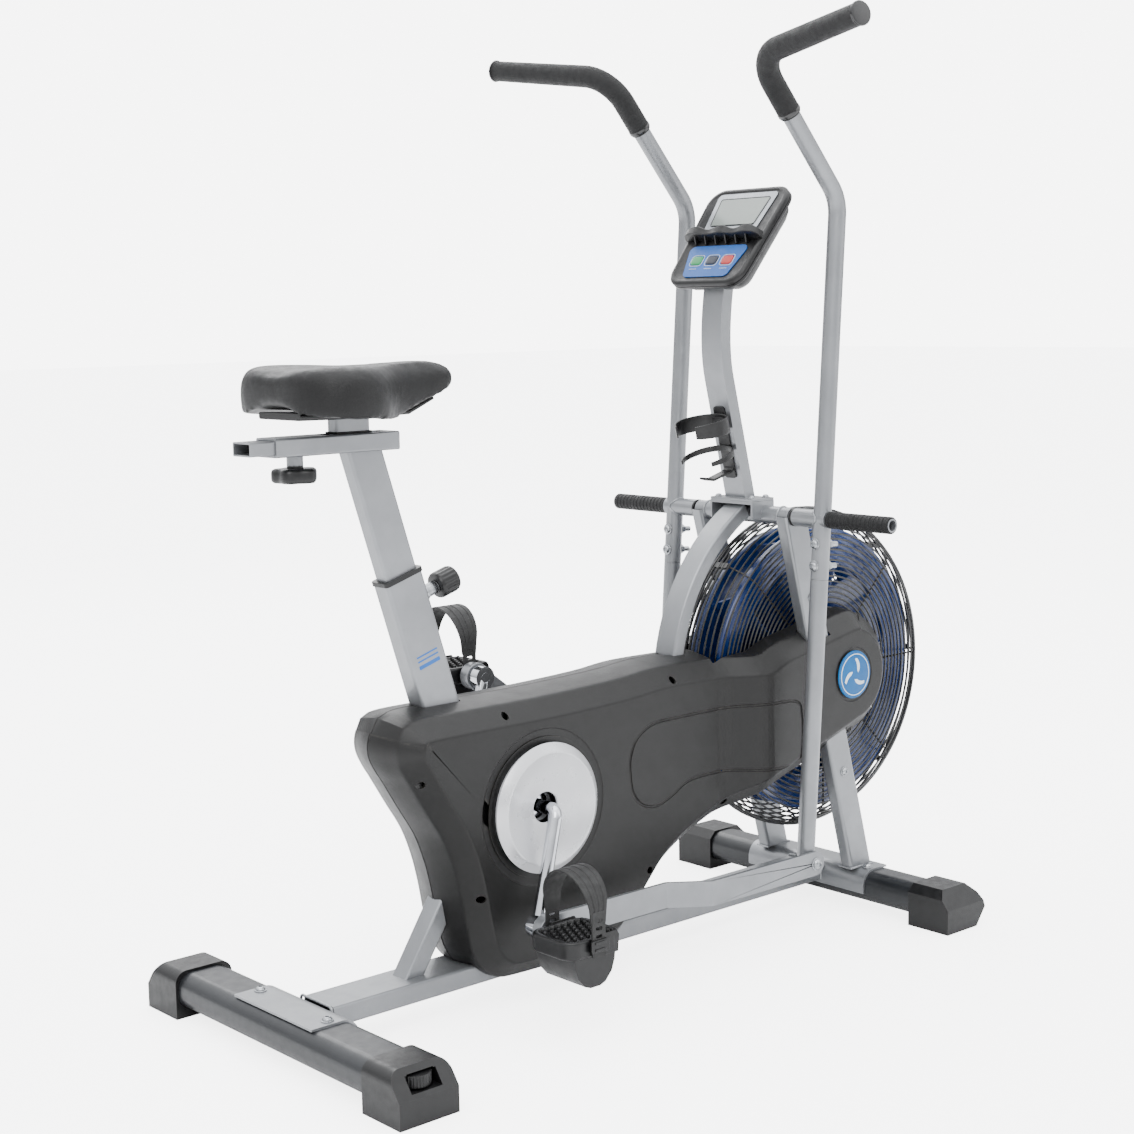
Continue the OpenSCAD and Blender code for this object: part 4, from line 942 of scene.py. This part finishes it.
def arm_screws():
    b = new()
    for k in (35, 66):
        c = Vector((PIVOT[0], -ARM_Y, PIVOT[1])) + DOWN * k
        bolt(b, c - ACROSS * 12.8, -ACROSS, 13, 6)
        lathe(b, [(6.9, 0), (7.4, 0.6), (7.4, 5.4), (6.6, 6), (4, 6)], c + ACROSS * 12.9, ACROSS, 6)
        lathe(b, [(4, -13), (4, 32)], c, ACROSS, 20)
    return b


both_sides(arm_screws, "arm_screws", ZINC, ARM_BODIES, ["arm_bolts"], slot="zinc")


def link_screw():
    b = new()
    bolt(b, (LEVER_END.x, -169.05, LEVER_END.z), (0, -1, 0), 15, 7)
    lathe(b, [(5, 163.5), (5, 170)], (LEVER_END.x, 0, LEVER_END.z), (0, -1, 0), 24)
    return b


both_sides(link_screw, "link_screw", ZINC, LINK_BODIES, ["link_bolt"], slot="zinc")


# ---- weld beads and stripes ----

def bead(b, path, r=1.7):
    """A row of overlapping ripples."""
    pts = [Vector(p) for p in path]
    total = sum((q - p).length for p, q in zip(pts, pts[1:]))
    n = max(int(total / 1.3), 8)
    dense = []
    seg, done = 0, 0.0
    for i in range(n + 1):
        s = total * i / n
        while seg < len(pts) - 2 and done + (pts[seg + 1] - pts[seg]).length < s:
            done += (pts[seg + 1] - pts[seg]).length
            seg += 1
        length = (pts[seg + 1] - pts[seg]).length
        dense.append(pts[seg].lerp(pts[seg + 1], min((s - done) / max(length, 1e-6), 1)))
    sweep(b, dense, circle2(r, 8), scale=lambda t: 0.9 + 0.14 * math.sin(t * total * 2.1))


def frame_welds():
    b = new()
    for s in (-1, 1):
        # Fork feet on the front plate
        foot = Vector((397.5, s * 85, 63.4))
        corners = ((-24, -11), (-24, 11.4), (24, 11.4), (24, -11))
        bead(b, [foot + Vector((x, y * s, 0)) for x, y in corners], 2.0)
        # Rim of the fan-axle plates
        bead(b, [(fork_x(z) + 23, s * 89.6, FAN[1] + rise) for z, rise in ((330, -34), (400, 30))], 1.5)
        # Fork heads on the cross tube
        bead(b, [(x, s * 73.6, z) for x, z in circle2(13.4, 24, *PIVOT) + [(PIVOT[0] + 13.4, PIVOT[1])]], 1.7)
    # Base tube into its plates
    half = [(-33.4, 34), (-33.4, 58), (-30, 60.4)]
    for x in (-533, 375):
        bead(b, [(x, y, z) for y, z in half + [(-y, z) for y, z in reversed(half)]], 2.0)
    return b


piece(frame_welds(), "frame_welds", WELD, "frame", sharp=80)


def arm_welds():
    """A bead where the pivot sleeve meets the arm's tube."""
    b = new()
    c = Vector((PIVOT[0], -ARM_Y, PIVOT[1]))
    ring = []
    for k in range(49):
        a = 2 * math.pi * k / 48
        x, z = 13.0 * math.cos(a), 13.0 * math.sin(a)
        along = abs(x * math.cos(ARM_LEAN) - z * math.sin(ARM_LEAN))
        y = math.sqrt(12.7 ** 2 - min(along, 12.6) ** 2) + 0.4
        ring.append(c + Vector((x * 1.03, y, z * 1.03)))
    bead(b, ring, 1.5)
    return b


both_sides(arm_welds, "arm_welds", WELD, ARM_BODIES, sharp=80)


def sleeve_stripes():
    """Plain stripes on both sides of the seat sleeve."""
    b = new()
    for s in (-1, 1):
        for height, tall in ((58, 5), (66, 2), (72, 2)):
            at = SEAT_BASE + Vector((0, s * 16.02, 0)) + SEAT_UP * height
            prism(b, round_rect(34, tall, 0.9, 3), at, SEAT_FORE, SEAT_UP, (0, s * 0.22, 0))
    return b


piece(sleeve_stripes(), "sleeve_stripes", STRIPE, "frame")


# ---- knobs ----

def rail_knob():
    """A knob with five soft lobes, and its neck."""
    b = new()
    n = 100
    at = Vector((-536, 0, 0))

    def ring(z, inset):
        out = []
        for i in range(n):
            a = 2 * math.pi * i / n
            r = 26.5 + 2.6 * math.cos(5 * a) - inset
            out.append(b.verts.new(at + Vector((r * math.cos(a), r * math.sin(a), z))))
        return out

    z0 = 708.9
    steps = [(0, 8), (0.6, 3), (3, 0.4), (6, 0), (13, 0), (16, 1), (17.8, 4), (18, 10)]
    rows = [ring(z0 + h, inset) for h, inset in steps]
    bridge(b, rows)
    lathe(b, [(10, 0), (10, 4.9)], (at.x, 0, z0 + 17.6), (0, 0, 1), 32)
    return b


piece(rail_knob(), "rail_knob_grip", BLACK, "rail_knob", ["slider_knob"], "black_plastic", sharp=45)

PIN_AT = SEAT_BASE + SEAT_UP * 141


def pin_knob():
    b = new()
    x, y, z = axes_for(SEAT_FORE)
    n = 108
    base = PIN_AT + SEAT_FORE * 51.8

    def ring(h, r, rib):
        return [b.verts.new(base + z * h + (x * math.cos(a) + y * math.sin(a)) * (r + rib * math.cos(18 * a)))
                for a in (2 * math.pi * i / n for i in range(n))]

    steps = [(0, 12, 0), (0.8, 16, 0), (3, 17.2, 0), (5, 17.3, 0.2), (8, 17, 0.5), (24, 17, 0.5),
             (27, 17, 0.3), (29.4, 15.8, 0), (30, 13, 0), (30.3, 6, 0)]
    bridge(b, [ring(*step) for step in steps])
    return b


piece(pin_knob(), "pin_knob_grip", BLACK, "pin_knob", ["post_knob"], "black_plastic", sharp=45)


def pin_barrel():
    b = new()
    profile = [(4.6, 29), (9.6, 29), (10.4, 29.6), (10.4, 34), (9.4, 35), (8.7, 35), (8.7, 50), (8.0, 51),
               (4.6, 51)]
    lathe(b, profile, PIN_AT, SEAT_FORE, 40, closed=True)
    return b


piece(pin_barrel(), "pin_barrel", ZINC, "frame")


def rail_gasket():
    b = new()
    prism(b, round_rect(56, 28, 6), (-456, 0, 764.95), (1, 0, 0), (0, 1, 0), (0, 0, 2.4))
    return b


piece(rail_gasket(), "rail_gasket", RUBBER, "seat", edge=0.8)


# ---- pedals ----

LINE = math.atan2(-(LEVER_END.z - CRANK[1]), LEVER_END.x - CRANK[0])
CRANK_DIR = Vector((-math.sin(LINE), 0, -math.cos(LINE)))
PIN_RIGHT = Vector((CRANK[0], 0, CRANK[1])) + CRANK_DIR * 150
PIN_LEFT = Vector((CRANK[0], 0, CRANK[1])) - CRANK_DIR * 150
PEDAL_MID = 184.0


def pedal_at(pin, s):
    return Vector((pin.x, s * PEDAL_MID, pin.z))


def pedal_body(pin, s):
    b = new()
    c = pedal_at(pin, s)
    # The tread: a shallow tray with a raised border
    rows = []
    levels = [(3, -12), (0.6, -10.6), (0, -8), (0, 8), (0.8, 10.6), (2.6, 11.8), (6, 11.8), (7.6, 10.6),
              (8.4, 8.4)]
    for inset, z in levels:
        k = round_rect(93 - 2 * inset, 83 - 2 * inset, 20 - inset * 0.8, 8)
        rows.append([b.verts.new(c + Vector((x, y, z))) for x, y in k])
    bridge(b, rows)
    # The weight that hangs below
    half = [(35, -8), (33, -24), (28, -38), (17, -50), (8, -53.4)]
    low = half + [(-x, z) for x, z in reversed(half)]
    w = 37.5
    prism(b, low, c - Vector((0, w, 0)), (1, 0, 0), (0, 0, 1), (0, 2 * w, 0))
    # Side cheeks with the strap's anchors
    for side in (-1, 1):
        cheek = [(-6, -14), (36, -14), (38, 8), (34, 14), (-4, 14), (-8, 8)]
        prism(b, cheek, c + Vector((0, side * 40 - 1.2, 0)), (1, 0, 0), (0, 0, 1), (0, 2.4, 0))
    return b


def pedal_studs(pin, s):
    b = new()
    c = pedal_at(pin, s)
    for j in range(6):
        for i in range(7):
            x = (i - 3) * 11 + (2.75 if j % 2 else -2.75)
            y = (j - 2.5) * 11
            if abs(x) < 37:
                profile = [(2.7, 8.2), (2.5, 12.6), (1.9, 13.6), (0.1, 13.8)]
                lathe(b, profile, c + Vector((x, y, 0)), (0, 0, 1), 12)
    return b


def strap_path(c, r=43.7):
    """Up one side, over the foot and down the other side."""
    out = [Vector((0, r, 30))]
    for k in range(25):
        a = math.radians(180 * k / 24)
        out.append(Vector((0, r * math.cos(a) * (1 - 0.05 * math.sin(a)), 50 + r * 0.98 * math.sin(a))))
    out.append(Vector((0, -r, 30)))
    return [c + p for p in out]


def strap_band(pin, s):
    """The wide band over the foot: three grooves between raised ribs, wider at the top."""
    b = new()
    path = strap_path(pedal_at(pin, s))
    t = 1.15
    rings = []
    for i, p in enumerate(path):
        q = path[min(i + 1, len(path) - 1)] - path[max(i - 1, 0)]
        out = Vector((1, 0, 0)).cross(q.normalized())
        half = 12 + 9.5 * abs(math.sin(math.pi * i / (len(path) - 1))) ** 0.7
        prof = [(-half, -t), (half, -t), (half, t * 0.6), (half - 1.4, t)]
        for g in (0.55, 0, -0.55):
            at = g * half
            prof += [(at + 1.9, t), (at + 1.1, t - 0.8), (at - 1.1, t - 0.8), (at - 1.9, t)]
        prof += [(-half + 1.4, t), (-half, t * 0.6)]
        rings.append([b.verts.new(p + Vector((u, 0, 0)) + out * -v) for u, v in prof])
    bridge(b, rings)
    return b


def strap_tails(pin, s, name):
    """Two tails with oval slots, from the band down to the tread's sides."""
    c = pedal_at(pin, s)
    b = new()
    tools = []
    for side in (-1, 1):
        y = c.y + side * 42.9
        low = 2 if side * s < 0 else -13
        middle = (c.x, y, c.z + (low + 46) / 2)
        prism(b, round_rect(22, 46 - low, 3, 4), middle, (1, 0, 0), (0, 0, 1), (0, side * 2.2, 0))
        for k in range(3):
            hole = new()
            at = (c.x, y - side * 2, c.z + 14 + 10 * k)
            prism(hole, round_rect(11, 5, 2.4, 5), at, (1, 0, 0), (0, 0, 1),
                  (0, side * 6.5, 0))
            tools.append(tool(hole))
    obj = to_object(b, name)
    cut_away(obj, tools)
    return obj


def buckle(pin, s):
    """The catch on the outer tail."""
    b = new()
    c = pedal_at(pin, s)
    y = c.y + s * 45.3
    prism(b, round_rect(30, 16, 3, 4), (c.x, y, c.z + 2), (1, 0, 0), (0, 0, 1), (0, s * 2.4, 0))
    for v in (-2.5, 6.5):
        bar = (c.x, y + s * 2.4, c.z + v)
        prism(b, round_rect(18, 3.2, 1.4, 4), bar, (1, 0, 0), (0, 0, 1), (0, s * 1.2, 0))
    return b


for side, pin, s in (("right", PIN_RIGHT, -1), ("left", PIN_LEFT, 1)):
    body = f"pedal_{side}_body"
    tread = pedal_body(pin, s)
    piece(tread, f"pedal_tread_{side}", BLACK, body, [f"pedal_{side}"], "black_plastic", edge=0.8)
    piece(pedal_studs(pin, s), f"pedal_studs_{side}", BLACK, body, [], "black_plastic")
    band = strap_band(pin, s)
    piece(band, f"strap_band_{side}", RUBBER, body, [f"strap_{side}"], "black_plastic", sharp=35)
    place(strap_tails(pin, s, f"strap_tails_{side}"), RUBBER, body, [], sharp=35)
    piece(buckle(pin, s), f"strap_buckle_{side}", BLACK, body, [], "black_plastic", edge=0.4)


# ---- console ----

C_X = Vector((0, -1, 0))
C_Y = Vector((math.sin(CONSOLE_TILT), 0, math.cos(CONSOLE_TILT)))
C_Z = Vector((-math.cos(CONSOLE_TILT), 0, math.sin(CONSOLE_TILT)))


def con(x, y, z=0.0):
    return CONSOLE_AT + C_X * x + C_Y * y + C_Z * z


def con_plate(b, outline, z, t):
    prism(b, outline, con(0, 0, z), C_X, C_Y, C_Z * t)


def console_loft(outline, levels):
    """Lofts an outline at several insets, each at its height off the console's plane."""
    b = new()
    bridge(b, [[b.verts.new(con(x, y, z)) for x, y in outline(inset)] for inset, z in levels])
    return b


def console_case():
    def outline(inset):
        return round_rect(146 - 2 * inset, 177 - 2 * inset, 27 - inset * 0.7, 10, top=157 - 2 * inset)

    return console_loft(outline, [
        (6, -13.9), (1.5, -13.5), (0, -12), (0, -8.2), (1, -7.8), (1, -7.0), (0, -6.6), (0, -3.2),
        (1.6, -1.0), (4.2, -0.1), (7.5, 0.0), (8.6, -0.9), (9.4, -1.1)])


def console_rear():
    drop = {30: 6, 18: 4, 9: 2}

    def outline(inset):
        shape = round_rect(134 - 2 * inset, 160 - 2 * inset, 24 - inset * 0.6, 10, top=140 - 2 * inset)
        return [(x, y - drop.get(inset, 0)) for x, y in shape]

    return console_loft(outline, [
        (30, -37.8), (18, -37.4), (9, -34), (4, -28), (1, -20), (0, -14.4), (3, -14.2)])


def trapezoid(top, bottom, v0, v1, r=3):
    mid = (v0 + v1) / 2
    return [(x, y + mid) for x, y in round_rect(2 * bottom, v1 - v0, r, 5, top=2 * top)]


KEY_V = -47.0
KEYS_X = (-30, 0, 30)


def key_wells():
    """Room for the three keys to be pressed in."""
    made = []
    for x in KEYS_X:
        b = new()
        con_plate(b, [(x + p, KEY_V + q) for p, q in round_rect(21, 16, 4.6, 6)], -4.0, 8)
        made.append(tool(b))
    return made


bezel = to_object(console_case(), "console_bezel")
cut_away(bezel, key_wells())
place(bezel, BLACK, "frame", ["console_front"], sharp=50)
piece(console_rear(), "console_shell", BLACK, "frame", ["console_back"], "black_plastic", sharp=50)

silver = new()
con_plate(silver, trapezoid(58, 52, 8, 77, 7), -1.0, 1.2)
piece(silver, "console_plate", PLATE, "frame", edge=0.3)
lens = new()
con_plate(lens, trapezoid(47, 42, 18, 66, 3), 0.0, 0.9)
piece(lens, "display_window", LCD, "frame", ["display_lens"], "lcd", edge=0.3)
rim = new()
path = [con(x, y, 0.35) for x, y in trapezoid(48.2, 43.2, 16.8, 67.2, 3.6)]
sweep(rim, path, circle2(0.9, 6), closed=True)
piece(rim, "display_rim", GLOSSY, "frame", sharp=60)
pad = new()
con_plate(pad, trapezoid(56, 45, -76, -20, 9), -1.0, 1.15)
pad = to_object(pad, "keypad")
cut_away(pad, key_wells())
place(pad, KEYPAD, "frame", sharp=35)

outlines = new()
for x in KEYS_X:
    frame_line = [con(x + p, KEY_V + q, 0.3) for p, q in round_rect(24, 19, 5, 5)]
    sweep(outlines, frame_line, circle2(0.55, 6), closed=True)
    sweep(outlines, [con(x - 7, KEY_V - 15, 0.2), con(x + 7, KEY_V - 15, 0.2)], circle2(0.5, 6))
piece(outlines, "key_outlines", KEY_LINE, "frame", sharp=60)


def key(middle):
    def outline(inset):
        shape = round_rect(20 - 2 * inset, 15 - 2 * inset, 4.2 - inset * 0.6, 6)
        return [(middle + x, KEY_V + y) for x, y in shape]

    return console_loft(outline, [(0, -0.8), (0, 0.9), (0.5, 1.5), (1.6, 1.8), (4, 1.85)])


KEYS = (("start", "green", GREEN), ("mode", "dark", DARK_KEY), ("reset", "red", RED))
for x, (name, tone, mat) in zip(KEYS_X, KEYS):
    piece(key(x), f"key_{name}", mat, f"{name}_button", [f"button_{name}"], f"{tone}_key", sharp=50)


def ledge():
    """The lip that a phone stands on, with a wavy front edge and ribs below."""
    b = new()
    n = 40
    sets = []
    for i in range(n + 1):
        x = mix(-75, 75, i / n)
        edge = min(abs(abs(x) - 75) / 10, 1) ** 0.5
        reach = 6 + 9.5 * edge + 1.3 * math.cos(x / 75 * math.pi * 3)
        lift = 2.4 * math.cos(x / 75 * math.pi * 3) + 1.5
        lip = [(-9.6, -0.9), (-9.4, reach - 2.2), (-8.6, reach), (-1.0 + lift, reach + 0.7),
               (0.2 + lift, reach - 0.2), (-0.6 + lift, reach - 1.8), (-6.2, reach - 2.9), (-6.4, -0.9)]
        sets.append([b.verts.new(con(x, v, z)) for v, z in lip])
    bridge(b, sets)
    for x in range(-50, 51, 20):
        rib = [(-9.5, -0.6), (-9.5, 11.5), (-17.5, 1.8), (-17.5, -0.6)]
        prism(b, rib, con(x - 1.1, 0, 0), C_Y, C_Z, C_X * 2.2)
    return b


piece(ledge(), "phone_lip", BLACK, "frame", ["phone_ledge"], "black_plastic", edge=0.35, sharp=45)


# ---- bottle holder ----

def holder():
    """The bottle holder: a spine on the mast, two open claws and a foot."""
    b = new()
    mast = Vector((227, 0, 640))
    up = Vector((-0.236, 0, 0.972))
    back = Vector((-0.972, 0, -0.236))
    # The spine clipped to the mast
    prism(b, round_rect(22, 108, 5, 5), mast + up * 78 + back * 0.6, (0, 1, 0), up, back * 4.4)
    prism(b, round_rect(26, 18, 4, 5), mast + up * 108 + back * 4.6, (0, 1, 0), up, back * 5)

    def claw(height, radius, wide, reach, thick, tilt):
        c = mast + up * height + back * (radius + 6)
        path = []
        for k in range(31):
            a = math.radians(mix(-reach, reach, k / 30))
            w = -back * math.cos(a) * radius + Vector((0, 1, 0)) * math.sin(a) * radius
            path.append(c + w + up * (tilt * (1 - math.cos(a))))
        sweep(b, path, round_rect(wide, thick, thick * 0.45, 3), up=up,
              scale=lambda t: 0.72 + 0.28 * math.sin(math.pi * t) ** 0.5)

    claw(110, 37.5, 24, 150, 3.2, 2)
    claw(70, 37.5, 9, 128, 3.0, -3)
    # The foot the bottle stands on
    path = fillet([mast + up * u + back * v for u, v in ((52, 3), (36, 3), (34, 46), (40, 58))], 9, 6)
    sweep(b, path, round_rect(18, 3.4, 1.4, 3), up=(0, 1, 0))
    return b


piece(holder(), "bottle_clip", BLACK, "frame", ["bottle_holder"], "black_plastic", edge=0.4, sharp=45)


# ---- light, floor and camera ----

FLOOR_GLOW = 4.0
BACKDROP_GLOW = 7.0
LENS_MM = 62.3333
CAMERA_AT = (-1.846, -1.987, 0.913)
CAMERA_ANGLES = (48.757, 7.535, -1.013)


def floor_material():
    """Near white and matt, with a little of its own light so that it runs into the backdrop."""
    mat = surface("pale_floor", lin(250, 250, 250), lin(247, 247, 247), rough=0.8, mottle=1.5, grain=60,
                  relief=0.0, specular=0.1)
    nodes, links = mat.node_tree.nodes, mat.node_tree.links
    bsdf = nodes["Principled BSDF"]
    bsdf.inputs["Emission Color"].default_value = (1, 1, 1, 1)
    path = nodes.new("ShaderNodeLightPath")
    seen = nodes.new("ShaderNodeMath")
    seen.operation = "MULTIPLY"
    seen.inputs[1].default_value = FLOOR_GLOW
    links.new(path.outputs["Is Camera Ray"], seen.inputs[0])
    links.new(seen.outputs[0], bsdf.inputs["Emission Strength"])
    return mat


def studio():
    """The floor, a pale backdrop, light that is stronger from above, and four soft lamps."""
    bpy.ops.mesh.primitive_plane_add(size=60, location=(0, 0, 0))
    floor = bpy.context.object
    floor.name = "floor"
    floor.data.materials.append(floor_material())
    world = bpy.data.worlds.new("studio")
    bpy.context.scene.world = world
    world.use_nodes = True
    nodes, links = world.node_tree.nodes, world.node_tree.links
    lighting = nodes["Background"]
    lighting.inputs["Color"].default_value = (0.97, 0.98, 1.0, 1)
    height = nodes.new("ShaderNodeSeparateXYZ")
    links.new(nodes.new("ShaderNodeTexCoord").outputs["Generated"], height.inputs[0])
    fade = nodes.new("ShaderNodeMapRange")
    for key, number in (("From Min", -0.1), ("From Max", 0.9), ("To Min", 0.25), ("To Max", 3.3)):
        fade.inputs[key].default_value = number
    links.new(height.outputs["Z"], fade.inputs["Value"])
    links.new(fade.outputs["Result"], lighting.inputs["Strength"])
    seen = nodes.new("ShaderNodeBackground")
    seen.inputs["Color"].default_value = (1.0, 1.0, 1.0, 1)
    seen.inputs["Strength"].default_value = BACKDROP_GLOW
    path = nodes.new("ShaderNodeLightPath")
    choose = nodes.new("ShaderNodeMixShader")
    links.new(path.outputs["Is Camera Ray"], choose.inputs[0])
    links.new(lighting.outputs[0], choose.inputs[1])
    links.new(seen.outputs[0], choose.inputs[2])
    links.new(choose.outputs[0], nodes["World Output"].inputs["Surface"])
    for name, at, power, size in (("key", (-2.4, -2.6, 3.2), 70, 2.4), ("fill", (2.6, -2.8, 2.0), 25, 2.6),
                                  ("rim", (1.2, 3.0, 2.8), 50, 2.2), ("top", (0, 0, 3.6), 30, 3.0)):
        data = bpy.data.lights.new(name, "AREA")
        data.energy, data.size = power, size
        light = bpy.data.objects.new(name, data)
        light.location = at
        light.rotation_euler = (Vector((0, 0, 0.6)) - Vector(at)).to_track_quat("-Z", "Y").to_euler()
        bpy.context.scene.collection.objects.link(light)


def camera():
    """Behind the machine on its right, a little higher than the saddle."""
    data = bpy.data.cameras.new("camera")
    data.sensor_width = 36
    data.lens = LENS_MM
    cam = bpy.data.objects.new("camera", data)
    yaw, pitch, roll = (math.radians(a) for a in CAMERA_ANGLES)
    d = Vector((math.cos(yaw) * math.cos(pitch), math.sin(yaw) * math.cos(pitch), -math.sin(pitch)))
    r = Vector((math.sin(yaw), -math.cos(yaw), 0))
    u = r.cross(d)
    right = r * math.cos(roll) + u * math.sin(roll)
    upward = right.cross(d)
    m = Matrix((right, upward, -d)).transposed().to_4x4()
    m.translation = Vector(CAMERA_AT)
    cam.matrix_world = m
    bpy.context.scene.collection.objects.link(cam)
    bpy.context.scene.camera = cam


studio()
camera()
